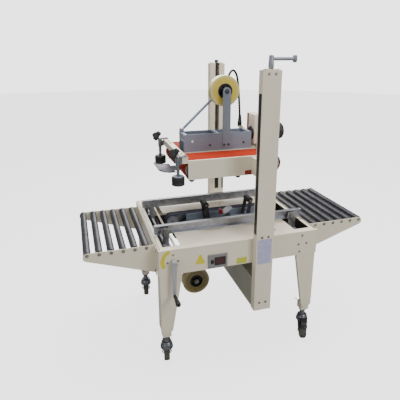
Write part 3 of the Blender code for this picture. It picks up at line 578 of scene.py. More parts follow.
def bolt(place, direction, size=0.0048, washer=True):
    """A hexagon head on its washer, seated at place and pointing along direction."""
    place = Vector(place)
    out = Vector(direction).normalized()
    shapes = [bar(place + out * 0.0006, place + out * (0.001 + size * 0.62), size, size * 0.94, 6, 0.0003)]
    if washer:
        shapes.append(bar(place - out * 0.0003, place + out * 0.0009, size * 1.45, None, 20, 0.0002))
    return shapes


def bolts(places, direction, size=0.0048):
    """Hexagon heads on their washers, one at each place, all pointing the same way."""
    return [shape for place in places for shape in bolt(place, direction, size)]


# %% [markdown]
# ## Rollers
# Each table roller is a steel tube with a pressed bearing cup in either end, turning on a fixed axle that
# is bolted through the side plates. A turned tube with a real wall shows the cups' rims from the side.

# %% Table rollers
for table in ("infeed", "outfeed"):
    for number in range(1, 7):
        x0, x1, y0, y1, z0, z1 = span(f"{table}_roller_{number}")
        centre = ((x0 + x1) / 2, 0, (z0 + z1) / 2)
        radius = (x1 - x0) / 2
        end = 0.2625
        tube = [
            (radius - 0.0015, -end), (radius, -end + 0.001), (radius, end - 0.001), (radius - 0.0015, end)
        ]
        tube += [(0.0125, end - 0.0005), (0.0125, end - 0.004), (0.0055, end - 0.003)]
        tube += [(0.0055, -end + 0.003), (0.0125, -end + 0.004), (0.0125, -end + 0.0005)]
        cups = [
            bar((centre[0], s * 0.2595, centre[2]), (centre[0], s * 0.262, centre[2]), 0.0098)
            for s in (-1, 1)
        ]
        shapes = {"roller_steel": [turned(tube, centre, "Y", 40, True)], "dark_steel": cups}
        piece(
            f"{table}_table_roller_{number}", f"{table}_roller_{number}", shapes,
            [f"{table}_roller_{number}"]
        )
print("roller radius:", round(radius, 4))

# %% Axle bolts and the bolts of the tables' end plates
heads = []
for side in (-1, 1):
    table = "infeed" if side < 0 else "outfeed"
    x0, x1, y0, y1, z0, z1 = span(f"{table}_table")
    for number in range(1, 7):
        rx0, rx1, _, _, rz0, rz1 = span(f"{table}_roller_{number}")
        x, z = (rx0 + rx1) / 2, (rz0 + rz1) / 2
        for across in (-1, 1):
            heads += bolt((x, across * 0.2692, z), (0, across, 0), 0.0062)
            heads.append(bar((x, across * 0.2600, z), (x, across * 0.2680, z), 0.0048))
    plate_face = side * 0.4267
    places = [(plate_face, y, z) for y in (-0.287, 0.287) for z in (0.528, 0.632)]
    heads += bolts(places, (side, 0, 0), 0.0055)
piece("table_bolts", "bed", {"bolt_steel": heads})

# %% [markdown]
# ## Drive belts
# Four flat belts grip the carton, two below it and two above. A real belt is a spliced loop stretched over
# a crowned drum at either end, and slides on a plate between them. The loop is cut as a racetrack outline
# and given a wall, so the drums show inside it.


# %% Belts, drums and slider plates
def racetrack(x0, x1, z0, z1, steps=24):
    """A long outline with two round ends, as a belt takes over its drums."""
    radius = (z1 - z0) / 2
    middle = (z0 + z1) / 2
    ends = ((x1 - radius, -90, 90), (x0 + radius, 90, 270))
    return [point for x, a, b in ends for point in arc((x, middle), radius, a, b, steps)]


def belt(name, node, body, cloth):
    """A belt loop with its wall, made by joining an outer and an inner outline."""
    x0, x1, y0, y1, z0, z1 = span(node)
    wall = 0.0038
    outer = racetrack(x0, x1, z0, z1)
    inner = racetrack(x0 + wall, x1 - wall, z0 + wall, z1 - wall)
    shape = bmesh.new()
    loops = []
    for outline in (outer, inner):
        corners = [shape.verts.new((x, y0, z)) for x, z in outline]
        loops.append([shape.edges.new(pair) for pair in zip(corners, corners[1:] + corners[:1])])
    ring = bmesh.ops.bridge_loops(shape, edges=loops[0] + loops[1])["faces"]
    raised = bmesh.ops.extrude_face_region(shape, geom=ring)["geom"]
    bmesh.ops.translate(
        shape, vec=(0, y1 - y0, 0), verts=[v for v in raised if isinstance(v, bmesh.types.BMVert)]
    )
    bmesh.ops.recalc_face_normals(shape, faces=shape.faces)
    rounded(shape, 0.0008, 50.0, 2)
    radius = (z1 - z0) / 2 - wall - 0.0004
    drums = []
    for x in (x0 + radius + wall + 0.0004, x1 - radius - wall - 0.0004):
        place = (x, 0, (z0 + z1) / 2)
        half = (y1 - y0) / 2 - 0.0015
        middle = (y0 + y1) / 2
        crown = [
            (0.0, middle - half), (radius - 0.003, middle - half), (radius - 0.0015, middle - half + 0.002)
        ]
        crown += [(radius, middle - half * 0.5), (radius, middle + half * 0.5)]
        crown += [
            (radius - 0.0015, middle + half - 0.002), (radius - 0.003, middle + half), (0.0, middle + half)
        ]
        drums.append(turned(crown, place, "Y", 48))
    piece(name, body, {cloth: [shape]}, [node])
    return drums, (x0, x1, y0, y1, z0, z1), radius


for level, body, cloth in (("lower", "bed", "dark_belt"), ("upper", "head", "red_belt")):
    metal = []
    for row in ("front", "rear"):
        drums, size, radius = belt(f"{level}_drive_belt_{row}", f"{level}_belt_{row}", body, cloth)
        x0, x1, y0, y1, z0, z1 = size
        run = z1 - 0.0045 if level == "lower" else z0 + 0.0045
        low_z, high_z = sorted((run, run - 0.004 if level == "lower" else run + 0.004))
        slider = block(x0 + 2.3 * radius, x1 - 2.3 * radius, y0 + 0.003, y1 - 0.003, low_z, high_z)
        metal += [*drums, slider]
    shafts = []
    stub, reach = (0.0520, 0.1085) if level == "lower" else (0.0560, 0.2205)
    for x in (x0 + radius + 0.0042, x1 - radius - 0.0042):
        for side in (-1, 1):
            shafts.append(bar((x, side * stub, (z0 + z1) / 2), (x, side * reach, (z0 + z1) / 2), 0.0085))
    piece(f"{level}_belt_drums", body, {"zinc_steel": metal, "bright_steel": shafts})
    print(level, "drum radius:", round(radius, 4))

# %% [markdown]
# ## The lower drive
# Under the deck, two cheek plates carry the lower belts, and a geared motor turns their outfeed drums.
# From a low view this drive fills the space between the legs, so it gets its own simple shapes.

# %% Cheek plates, gearbox and lower motor
cheek = [(-0.285, 0.600), (-0.285, 0.652), (0.285, 0.652), (0.285, 0.600), (0.240, 0.566), (-0.240, 0.566)]
cheeks = [plate(cheek, s * 0.1065, s * 0.1090) for s in (-1, 1)]
nuts = []
for side in (1, -1):
    nuts += bolts([(x, side * 0.1090, 0.626) for x in (-0.261, 0.261)], (0, side, 0), 0.006)
gearbox = [
    block(0.226, 0.296, 0.1105, 0.176, 0.556, 0.640, 0.006),
    bar((0.261, 0.176, 0.600), (0.261, 0.186, 0.600), 0.040)
]
motor_body = [bar((0.261, 0.186, 0.600), (0.261, 0.318, 0.600), 0.0430, sides=40)]
for step in range(18):
    angle = math.tau * step / 18
    fin = block(-0.0009, 0.0009, 0.192, 0.300, 0.041, 0.0465, 0.0003)
    motor_body.append(shifted(spun(fin, math.degrees(angle), "Y"), (0.261, 0, 0.600)))
motor_body.append(
    turned(
        [(0.0, 0.300), (0.0475, 0.300), (0.0475, 0.334), (0.040, 0.342), (0.0, 0.342)], (0.261, 0, 0.600), "Y"
    )
)
piece("lower_drive", "bed", {"zinc_steel": cheeks, "bolt_steel": nuts, "motor_paint": gearbox + motor_body})

# %% [markdown]
# ## Fasteners on the bed and the columns
# Bolt heads tell the eye how big a machine is. They are hexagon heads on washers, set where the legs,
# the columns and the beam are joined.

# %% Bolts on the bed, legs and columns
heads = []
for side, face in ((-1, bed_low.y - MIDDLE), (1, bed_high.y - MIDDLE)):
    diamond = ((0.335, 0.638), (0.316, 0.590), (0.362, 0.592), (0.324, 0.548))
    places = [(x, face, z) for x, z in diamond]
    if side > 0:
        places += [(-x, face, z) for x, z in diamond]
    heads += bolts(places, (0, side, 0), 0.0044)
for x, z in ((-0.354, 0.632), (-0.382, 0.594), (-0.330, 0.598), (-0.338, 0.575)):
    heads += bolt((x, bed_low.y - MIDDLE, z), (0, -1, 0), 0.0038)
fx0, fx1, front_face, _, column_low, column_top = span("column_front")
rx0, rx1, rear_inner, rear_face, _, _ = span("column_rear")
column_x = (fx0 + fx1) / 2
for z in (column_top - 0.020, 0.679, column_low + 0.044):
    heads += bolts([(column_x + dx, front_face, z) for dx in (-0.017, 0.017)], (0, -1, 0), 0.0048)
    heads += bolts([(rx1, rear_face - 0.010, z)], (1, 0, 0), 0.0048)
piece("frame_bolts", "bed", {"bolt_steel": heads})
tabs = []
for y in (front_face + 0.0035, rear_face - 0.0035):
    tabs += [
        block(x - 0.007, x + 0.007, y - 0.003, y + 0.003, column_top + 0.0002, column_top + 0.0032, 0.0006)
        for x in (fx0 + 0.013, fx1 - 0.013)
    ]
piece("column_tabs", "bed", {"cream_paint": tabs})

# %% [markdown]
# ## Painted shade in the slots
# The slot beside each lifting screw is closed by a thin black strip, painted shade for the dark inside of the
# hollow column. It is a thin strip inside the thickness of the wall, so it never meets the head's nut behind
# it. Black sheets under the deck's cross slots are painted shade too, and make the slots look dark from
# above.

# %% Black sheets of painted shade under the deck and in the slots
SHADE_SHEET_LOW, SHADE_SHEET_HIGH = 0.5560, 0.5580
SHADE_SHEET_HALF_WIDTH = 0.3440
wall_x = bed_high.x - 0.0070
liners = []
for side in (-1, 1):
    base = sorted((side * 0.3155, side * (wall_x - 0.0012)))
    wall = sorted((side * (wall_x - 0.0010), side * wall_x))
    liners.append(block(*base, -SHADE_SHEET_HALF_WIDTH, SHADE_SHEET_HALF_WIDTH, SHADE_SHEET_LOW, SHADE_SHEET_HIGH, 0.0))
    liners.append(block(*wall, -SHADE_SHEET_HALF_WIDTH, SHADE_SHEET_HALF_WIDTH, SHADE_SHEET_LOW, 0.6640, 0.0))
    for row in (-1, 1):
        apron_x, apron_y = sorted((side * 0.2150, side * 0.3145)), sorted((row * 0.1150, row * 0.3250))
        liners.append(block(*apron_x, *apron_y, SHADE_SHEET_LOW, SHADE_SHEET_HIGH, 0.0))
# Black sheets under the deck's cross slots: painted shade.
piece("slot_shade_sheets", "bed", {"black_plastic": liners})
# Black strips inside the column slots: painted shade.
strips = [
    block(fx0 + 0.0008, fx0 + 0.0024, front_face + 0.0052, front_face + 0.0368, 0.691, 1.377, 0.0),
    block(rx1 - 0.0024, rx1 - 0.0008, rear_face - 0.0368, rear_face - 0.0052, 0.691, 1.377, 0.0),
    block(rx1 - 0.0118, rx1 - 0.0006, rear_inner - 0.0008, rear_inner - 0.0001, 0.690, 0.955, 0.0),
    block(column_x - 0.0125, column_x + 0.0125, rear_inner + 0.0006, rear_inner + 0.0024, 0.692, 0.788, 0.0),
    block(
        column_x - 0.0125, column_x + 0.0125, rear_inner + 0.0006, rear_inner + 0.0024, column_top - 0.012,
        column_top - 0.0005, 0.0
    ),
]
piece("slot_shade_strips", "bed", {"black_plastic": strips})

# %% [markdown]
# ## Casters
# A swivel caster is a pressed dome over a ball race, two cheeks that trail behind it, and a wheel on a
# bolt. The dome is turned, the cheeks are plate, and each part rides on its own body, so that the fork
# can swivel while the wheel rolls.


# %% Forks, wheels and the brake
def caster(corner, swivel):
    """One caster, drawn trailing along -Y and then turned to its own swivel angle."""
    x0, x1, y0, y1, z0, z1 = span(f"caster_wheel_{corner}")
    wheel = Vector(((x0 + x1) / 2, (y0 + y1) / 2, (z0 + z1) / 2))
    back = Matrix.Rotation(math.radians(swivel), 3, "Z") @ Vector((0, -0.030, 0))
    pivot = Vector((wheel.x - back.x, wheel.y - back.y, 0))
    top = span(f"caster_fork_{corner}")[5]
    hood = [
        (0.0, 0.131), (0.0205, 0.131), (0.0245, 0.128), (0.0310, 0.116), (0.0330, 0.102), (0.0322, 0.0985)
    ]
    hood += [(0.0300, 0.0985), (0.0300, 0.104), (0.0, 0.106)]
    stem = [(0.0, 0.129), (0.0155, 0.129), (0.0160, 0.140), (0.0130, 0.145), (0.0130, top - 0.010)]
    stem += [(0.0205, top - 0.008), (0.0215, top - 0.0005), (0.0, top - 0.0005)]
    race = [(0.0, 0.126), (0.0255, 0.126), (0.0262, 0.1305), (0.0225, 0.1345), (0.0, 0.1345)]
    axle = (-0.030, wheel.z)
    cheek = [(0.024, 0.101), (0.020, 0.112), (-0.024, 0.119), (-0.042, 0.118), (-0.047, 0.110)]
    cheek += arc(axle, 0.0125, 165, 335, 10)
    cheeks = [spun(plate(cheek, -s - 0.0014, -s + 0.0014, 0.0008), 90) for s in (-0.0204, 0.0204)]
    fender = [
        (0.010, 0.104), (-0.030, 0.1195), (-0.044, 0.1185), (-0.0445, 0.1165), (-0.030, 0.1172),
        (0.010, 0.1015)
    ]
    cheeks.append(spun(plate(fender, -0.0205, 0.0205, 0.0004), 90))
    nuts = bolt((0.0218, axle[0], axle[1]), (1, 0, 0), 0.0056, False)
    nuts += bolt((-0.0218, axle[0], axle[1]), (-1, 0, 0), 0.0056, False)
    shapes = {
        "caster_zinc": [turned(hood), turned(race), turned(stem)], "black_plastic": cheeks, "bolt_steel": nuts
    }
    for shape in [shape for group in shapes.values() for shape in group]:
        shifted(spun(shape, swivel), pivot)
    piece(f"caster_hood_{corner}", f"fork_{corner}", shapes, [f"caster_fork_{corner}"])
    radius = (z1 - z0) / 2
    tyre = [
        (radius - 0.011, -0.0135), (radius - 0.004, -0.0148), (radius - 0.0012, -0.0120), (radius, -0.0060)
    ]
    tyre += [(r, -y) for r, y in reversed(tyre)]
    tread = [(radius - 0.0008, -0.0040), (radius, -0.0036), (radius, 0.0036), (radius - 0.0008, 0.0040)]
    hub = [
        (0.0058, -0.0172), (0.0120, -0.0172), (0.0135, -0.0105), (0.0260, -0.0090), (radius - 0.0120, -0.0122)
    ]
    hub += [(radius - 0.0105, -0.0122)]
    hub += [(r, -y) for r, y in reversed(hub)]
    wheel_shapes = {
        "tyre_rubber": [turned(tyre, sides=64, closed=True)],
        "switch_grey": [turned(hub, sides=48, closed=True)]
    }
    for shape in [shape for group in wheel_shapes.values() for shape in group]:
        bmesh.ops.transform(shape, matrix=TURN_TO["X"], verts=shape.verts)
        shifted(spun(shape, swivel), wheel)
    piece(f"caster_tyre_{corner}", f"wheel_{corner}", wheel_shapes, [f"caster_wheel_{corner}"])
    return pivot


SWIVELS = {"front_left": 170, "front_right": -17, "rear_left": 170, "rear_right": 160}
for corner, swivel in SWIVELS.items():
    pivot = caster(corner, swivel)
    if corner == "front_right":
        tread = [
            (-0.040, 0.1115), (-0.044, 0.1150), (-0.062, 0.1090), (-0.0825, 0.0945), (-0.0815, 0.0915),
            (-0.060, 0.1030)
        ]
        pedal = [spun(plate(tread, -0.0158, 0.0158, 0.0012), 90)]
        pedal += [
            block(-0.014, 0.014, y - 0.001, y + 0.001, z, z + 0.0016, 0.0004)
            for y, z in ((-0.070, 0.1030), (-0.076, 0.0985))
        ]
        pedal.append(bar((-0.0185, -0.041, 0.112), (0.0185, -0.041, 0.112), 0.004))
        for shape in pedal:
            shifted(spun(shape, swivel), pivot)
        piece("caster_brake", "brake", {"black_plastic": pedal}, ["brake_pedal"])
print("casters:", len(SWIVELS))

# %% [markdown]
# ## Cranks and screws
# The handwheel cranks turn long trapezoidal screws. A true helix would cost many faces for threads this
# fine, so each screw is turned with a ring for every turn of its thread, which looks the same.


# %% Threaded screws
def thread_profile(start, end, radius, pitch=0.005):
    """A turned profile with one ridge for each turn of the thread."""
    profile = [(0.0, start)]
    turns = int((end - start) / pitch)
    for i in range(turns):
        along = start + i * pitch
        profile += [(radius - 0.0012, along + 0.0006), (radius, along + 0.0020), (radius, along + 0.0032)]
        profile.append((radius - 0.0012, along + 0.0046))
    profile += [(radius - 0.0015, end), (0.0, end)]
    return profile


x0, x1, y0, y1, z0, z1 = span("height_crank")
rear = span("rear_height_screw")
crank_x = (rear[0] + rear[1]) / 2
crank_y = (rear[2] + rear[3]) / 2
arm_z = z1 - 0.017
column_top = span("column_front")[5]
sleeve = [
    (0.0, column_top + 0.0003), (0.0118, column_top + 0.0003), (0.0125, column_top + 0.0015),
    (0.0125, arm_z - 0.012)
]
sleeve += [(0.0110, arm_z - 0.010), (0.0110, arm_z + 0.010), (0.0095, arm_z + 0.0155), (0.0, arm_z + 0.0165)]
knob = [
    (0.0, -0.0166), (0.0070, -0.0162), (0.0100, -0.0120), (0.0104, 0.0), (0.0100, 0.0120), (0.0070, 0.0162),
    (0.0, 0.0166)
]
knob_x = x1 - 0.0105
bright = [
    turned(thread_profile(z0, column_top - 0.002, 0.0079), (crank_x, -crank_y, 0), sides=18),
    turned(sleeve, (crank_x, -crank_y, 0)),
    bar((crank_x, -crank_y, arm_z), (knob_x, -crank_y, arm_z), 0.0078),
    turned(knob, (knob_x, -crank_y, arm_z)),
]
piece("height_crank_handle", "height_crank", {"satin_steel": bright}, ["height_crank"])
nut = [turned(thread_profile(rear[4], rear[5] - 0.006, 0.0079), (crank_x, crank_y, 0), sides=18)]
nut.append(bar((crank_x, crank_y, rear[5] - 0.016), (crank_x, crank_y, rear[5]), 0.0114, 0.0108, 6, 0.0008))
piece("rear_screw_thread", "rear_screw", {"dark_steel": nut}, ["rear_height_screw"])

# %% The width crank and its grip
x0, x1, y0, y1, z0, z1 = span("width_crank")
grip = span("width_crank_grip")
hub_x, hub_z = -0.354, 0.600
foot_x, foot_z = (grip[0] + grip[1]) / 2, (grip[4] + grip[5]) / 2
hub = [
    (0.0, -0.3878), (0.0080, -0.3878), (0.0100, -0.3862), (0.0125, -0.3785), (0.0125, -0.3625),
    (0.0115, -0.3612), (0.0, -0.3612)
]
steel = [
    turned(thread_profile(-0.361, y1, 0.0079), (hub_x, 0, hub_z), "Y", 18),
    turned(hub, (hub_x, 0, hub_z), "Y"),
    plate(link((foot_x, foot_z), (hub_x, hub_z), 0.0085, 0.0125), -0.3858, -0.3792, 0.0012),
    bar((foot_x, -0.4205, foot_z), (foot_x, -0.3800, foot_z), 0.0034),
]
piece("width_crank_arm", "width_crank", {"crank_steel": steel}, ["width_crank"])
start, end = grip[2], grip[3]
handle = [
    (0.0042, start + 0.006), (0.0085, start), (0.0112, start + 0.0010), (0.0124, start + 0.0045),
    (0.0124, start + 0.012)
]
handle += [
    (0.0112, start + 0.026), (0.0090, start + 0.050), (0.0084, end - 0.010), (0.0088, end - 0.004),
    (0.0074, end), (0.0042, end)
]
ring = [
    (0.0043, start + 0.0066), (0.0070, start + 0.0006), (0.0086, start + 0.0002), (0.0096, start + 0.0050),
    (0.0043, start + 0.0080)
]
parts = {
    "black_plastic": [turned(handle, (foot_x, 0, foot_z), "Y", 40, True)],
    "bolt_steel": [turned(ring, (foot_x, 0, foot_z), "Y", 32, True)],
}
piece("width_crank_handle", "width_grip", parts, ["width_crank_grip"])
print("crank hub at", (hub_x, hub_z), "grip from", round(start, 3), "to", round(end, 3))

# %% [markdown]
# ## Side guides
# Each guide is a galvanised rail on two posts. The posts pass through the cross slots of the deck, and
# their bronze nuts ride on the screws below, so the bolts and nuts ride with the guide.

# %% Guide fasteners and nuts
for row, side in (("front", -1), ("rear", 1)):
    x0, x1, y0, y1, z0, z1 = span(f"guide_rail_{row}")
    lip = side * 0.2025
    heads = []
    shoes = []
    for x in (-0.354, 0.354):
        heads += bolts([(x, lip + side * 0.016, z) for z in (0.684, 0.700)], (0, side, 0), 0.0045)
        foot = [
            (x - 0.030, z1 - 0.046), (x + 0.030, z1 - 0.046), (x + 0.024, z1 - 0.012), (x - 0.024, z1 - 0.012)
        ]
        shoes.append(plate(foot, lip + side * 0.0002, lip + side * 0.0026))
        heads += bolts(
            [(x + dx, lip + side * 0.0026, z1 - 0.030) for dx in (-0.020, 0.020)], (0, side, 0), 0.0036
        )
    piece(f"guide_fittings_{row}", f"guide_{row}", {"zinc_steel": shoes, "bolt_steel": heads})
print("guide rails from", round(x0, 3), "to", round(x1, 3))

# %% [markdown]
# ## The sealing head's side presses
# At the head's infeed end, two rubber rollers steer the carton's sides. Each hangs on a rod in a die-cast
# clamp, locked by a three-lobed plastic knob that stands at an angle so that a hand can reach it.


# %% Star knobs, clamps and press rollers
def star_knob(tip, direction, radius=0.0265, thick=0.013):
    """A three-lobed knob, extruded from a waved outline and rounded, seated at tip."""
    outline = []
    for step in range(48):
        angle = math.tau * step / 48
        reach = radius * (0.80 + 0.20 * math.cos(3 * angle))
        outline.append((reach * math.cos(angle), reach * math.sin(angle)))
    lobes = plate(outline, 0.0, thick, 0.0)
    rounded(lobes, 0.0028, 40.0, 3)
    boss = turned([(0.0, -0.004), (0.0090, -0.004), (0.0100, 0.0005), (0.0, 0.0005)], axis="Y")
    turn = Vector(direction).normalized().to_track_quat("Y", "Z").to_matrix().to_4x4()
    for shape in (lobes, boss):
        bmesh.ops.transform(shape, matrix=Matrix.Translation(tip) @ turn, verts=shape.verts)
    return [lobes, boss]


for row, side in (("front", -1), ("rear", 1)):
    x0, x1, y0, y1, z0, z1 = span(f"press_{row}_bracket")
    rx0, rx1, ry0, ry1, rz0, rz1 = span(f"press_{row}_roller")
    rod_x, y = (rx0 + rx1) / 2, (ry0 + ry1) / 2
    bar_top = span("infeed_crossbar")[5]
    tilt = Vector((-0.7, -0.25, 0.62))
    bar_face = span("infeed_crossbar")[0]
    arm = [
        (rod_x - 0.006, 1.040), (rod_x - 0.004, 1.068), (bar_face - 0.0008, 1.062), (bar_face - 0.0008, 1.031)
    ]
    clamp = [
        plate(arm, y - 0.0085, y + 0.0085, 0.0015),
        turned(
            [
                (0.0, 1.0300), (0.0098, 1.0300), (0.0110, 1.0320), (0.0110, 1.0700), (0.0085, 1.0760),
                (0.0, 1.0765)
            ],
            (rod_x, y, 0)
        ),
        block(
            rod_x + 0.004, bar_face + 0.026, y - 0.0110, y + 0.0110, bar_top + 0.0006, bar_top + 0.0070,
            0.0015
        ),
        bar((rod_x, y, z0 + 0.0002), (rod_x, y, 1.032), 0.0058),
        bar((rod_x, y, 1.0232), (rod_x, y, 1.0298), 0.0100, 0.0100, 6),
        bar((rod_x, y, rz1 + 0.0012), (rod_x, y, 1.0300), 0.0078),
        bar((rod_x - 0.002, y, 1.068), Vector((rod_x - 0.002, y, 1.068)) + tilt * 0.024, 0.0070),
    ]
    clamp += [
        shape for dy in (-0.006, 0.006)
        for shape in bolt((bar_face + 0.016, y + dy, bar_top + 0.0070), (0, 0, 1), 0.0026, False)
    ]
    knob = star_knob(Vector((rod_x - 0.0140, y - 0.0050, 1.0870)), tilt, 0.0300, 0.0200)
    piece(
        f"press_clamp_{row}", f"press_{row}", {"bright_steel": clamp, "black_plastic": knob},
        [f"press_{row}_bracket"]
    )
    radius = (rx1 - rx0) / 2
    sleeve = [
        (0.0070, rz0 + 0.001), (radius - 0.004, rz0 + 0.001), (radius - 0.0005, rz0 + 0.003),
        (radius - 0.0002, rz0 + 0.014)
    ]
    sleeve += [(radius - 0.0015, rz0 + 0.016), (radius - 0.0015, rz0 + 0.018), (radius - 0.0002, rz0 + 0.020)]
    sleeve += [(radius - 0.0002, rz1 - 0.006), (radius - 0.003, rz1 - 0.003), (0.0070, rz1 - 0.003)]
    cap = [
        (0.0069, rz1 - 0.0026), (radius - 0.0045, rz1 - 0.0026), (radius - 0.0055, rz1 - 0.0004),
        (0.0120, rz1), (0.0069, rz1)
    ]
    shapes = {
        "press_rubber": [turned(sleeve, (rod_x, y, 0), sides=48, closed=True)],
        "grey_paint" if side < 0 else "dark_steel": [turned(cap, (rod_x, y, 0), sides=48, closed=True)],
    }
    piece(f"press_wheel_{row}", f"press_roller_{row}", shapes, [f"press_{row}_roller"])

# %% [markdown]
# ## Tape rolls
# A roll is tape wound on a card core, which sits on a plastic hub with ribs. The roll's sides show the
# wound layers as fine rings, so the material measures the distance from the roll's own middle.


# %% Rolls on their hubs
def tape_roll(name, node, body, tape):
    """A roll of tape on its card core and its turned hub. It gives back its centre and radius."""
    x0, x1, y0, y1, z0, z1 = span(node)
    place = ((x0 + x1) / 2, (y0 + y1) / 2, (z0 + z1) / 2)
    radius = (z1 - z0) / 2 - 0.0003
    half = 0.0240
    wound = [(0.0405, -half), (radius - 0.0010, -half), (radius, -half + 0.0008)]
    wound += [(r, -y) for r, y in reversed(wound)]
    core = [(0.0382, -0.0246), (0.0404, -0.0246), (0.0404, 0.0246), (0.0382, 0.0246)]
    shell = [
        (0.0335, -0.0270), (0.0378, -0.0270), (0.0380, -0.0262), (0.0380, 0.0262), (0.0378, 0.0270),
        (0.0335, 0.0270)
    ]
    sleeve = [
        (0.0110, -0.0278), (0.0150, -0.0278), (0.0158, -0.0268), (0.0158, 0.0268), (0.0150, 0.0278),
        (0.0110, 0.0278)
    ]
    black = [turned(shell, place, "Y", 64, True), turned(sleeve, place, "Y", 40, True)]
    web = [(0.0156, -0.0150), (0.0338, -0.0150), (0.0338, -0.0110), (0.0156, -0.0110)]
    black.append(turned(web, place, "Y", 48, True))
    for step in range(6):
        rib = block(0.0154, 0.0338, -0.0240, 0.0240, -0.0012, 0.0012, 0.0004)
        black.append(shifted(spun(rib, 60 * step + 15, "Y"), place))
    shapes = {
        tape: [turned(wound, place, "Y", 96, True)],
        "core_card": [turned(core, place, "Y", 64, True)],
        "black_plastic": black,
    }
    piece(name, body, shapes, [node])
    return place, radius


upper_place, upper_radius = tape_roll("upper_roll_of_tape", "upper_tape_roll", "upper_roll", "tape")
lower_place, _ = tape_roll("lower_roll_of_tape", "lower_tape_roll", "lower_roll", "lower_tape")
print("roll radius:", round(upper_radius, 4))

# %% [markdown]
# ## Tape arms
# Each tape head has two sprung arms with rubber rollers: the first lays the tape on the carton, and the
# second wipes it down behind. Two links carry each roller, with a spacer between them.


# %% Arms with rubber rollers
def tape_arm(name, node, body, pivot, tip):
    """An arm from its pivot to its roller, both as (x, z)."""
    low, high = sorted((pivot, tip), key=lambda point: point[1])
    links = [plate(link(low, high, 0.0108, 0.0108), s * 0.0347, s * 0.0383, 0.0005) for s in (-1, 1)]
    middle = ((pivot[0] + tip[0]) / 2, (pivot[1] + tip[1]) / 2)
    pin = bar((pivot[0], -0.0463, pivot[1]), (pivot[0], 0.0463, pivot[1]), 0.0058)
    spacer = bar((middle[0], -0.0350, middle[1]), (middle[0], 0.0350, middle[1]), 0.0042)
    collars = [
        bar((pivot[0], s * 0.0385, pivot[1]), (pivot[0], s * 0.0440, pivot[1]), 0.0095) for s in (-1, 1)
    ]
    nuts = [shape for s in (-1, 1) for shape in bolt((tip[0], s * 0.0384, tip[1]), (0, s, 0), 0.0046)]
    rubber = [(0.0062, -0.0335), (0.0150, -0.0335), (0.0168, -0.0318)]
    for i in range(5):
        along = -0.024 + i * 0.012
        rubber += [
            (0.0168, along - 0.001), (0.0158, along), (0.0158, along + 0.0008), (0.0168, along + 0.0018)
        ]
    rubber += [(0.0168, 0.0318), (0.0150, 0.0335), (0.0062, 0.0335)]
    axle = bar((tip[0], -0.0345, tip[1]), (tip[0], 0.0345, tip[1]), 0.0058)
    shapes = {
        "dark_steel": links + collars,
        "press_rubber": [turned(rubber, (tip[0], 0, tip[1]), "Y", 40, True)],
        "bolt_steel": [pin, spacer, axle, *nuts],
    }
    piece(name, body, shapes, [node])


ARMS = (
    ("lower_apply", (-0.069, 0.600), -0.021, 0.135),
    ("lower_wipe", (0.152, 0.600), 0.023, 0.135),
    ("upper_apply", (-0.147, 1.030), -0.023, -0.135),
    ("upper_wipe", (0.074, 1.030), 0.023, -0.135),
)
for name, pivot, lean, rise in ARMS:
    tape_arm(f"{name}_links", f"{name}_arm", name, pivot, (pivot[0] + lean, pivot[1] + rise))

# %% [markdown]
# ## Inside the tape heads
# Between the side plates a guarded knife, guide rollers and springs handle the tape. They show through
# the gaps from above and below, so each gets a simple but true shape.


# %% Springs and tape-head fittings
def spring(start, end, radius, turns, wire=0.0008):
    """A coil of wire between two points, swept as rings that follow the coil."""
    start, end = Vector(start), Vector(end)
    along = end - start
    frame_turn = along.to_track_quat("Z", "Y").to_matrix()
    steps = turns * 12
    shape = bmesh.new()
    rings = []
    for step in range(steps + 1):
        angle = math.tau * step / 12
        out = frame_turn @ Vector((math.cos(angle), math.sin(angle), 0))
        up = along.normalized()
        middle = start + along * (step / steps) + out * radius
        corners = []
        for side in range(5):
            turn = math.tau * side / 5
            corners.append(shape.verts.new(middle + (out * math.cos(turn) + up * math.sin(turn)) * wire))
        rings.append([shape.edges.new(pair) for pair in zip(corners, corners[1:] + corners[:1])])
    for first, second in zip(rings, rings[1:]):
        bmesh.ops.bridge_loops(shape, edges=first + second)
    bmesh.ops.holes_fill(shape, edges=rings[0] + rings[-1], sides=5)
    bmesh.ops.recalc_face_normals(shape, faces=shape.faces)
    return shape


def head_fittings(name, body, x0, x1, z_far, z_near, toward):
    """Cross rollers, the knife guard and springs between the plates; toward is +1 if the carton is above."""
    half = 0.0462
    pins = []
    rubber = []
    for share, height in ((0.62, 0.20), (0.80, 0.10)):
        x = x0 + (x1 - x0) * share
        z = z_far + (z_near - z_far) * height
        pins.append(bar((x, -half, z), (x, half, z), 0.0042))
        rubber.append(bar((x, -0.026, z), (x, 0.026, z), 0.0085, sides=24))
    middle = (x0 + x1) / 2 + 0.01
    guard = [(middle - 0.028, z_near - toward * 0.030), (middle + 0.022, z_near - toward * 0.030)]
    guard += [(middle + 0.022, z_near - toward * 0.004), (middle + 0.006, z_near - toward * 0.001)]
    blade = plate(guard, -0.030, 0.030, 0.0008)
    coil = spring(
        (x0 + 0.020, 0.0425, z_near - toward * 0.016), (middle - 0.03, 0.0425, z_near - toward * 0.034),
        0.0030, 16
    )
    other = spring(
        (middle + 0.03, -0.0425, z_near - toward * 0.034), (x1 - 0.012, -0.0425, z_near - toward * 0.020),
        0.0030, 16
    )
    piece(name, body, {"bolt_steel": pins + [coil, other], "white_nylon": rubber, "dark_steel": [blade]})


head_fittings("lower_head_fittings", "bed", -0.040, 0.125, 0.566, 0.652, 1)
head_fittings("upper_head_fittings", "head", -0.118, 0.048, 1.125, 0.968, -1)

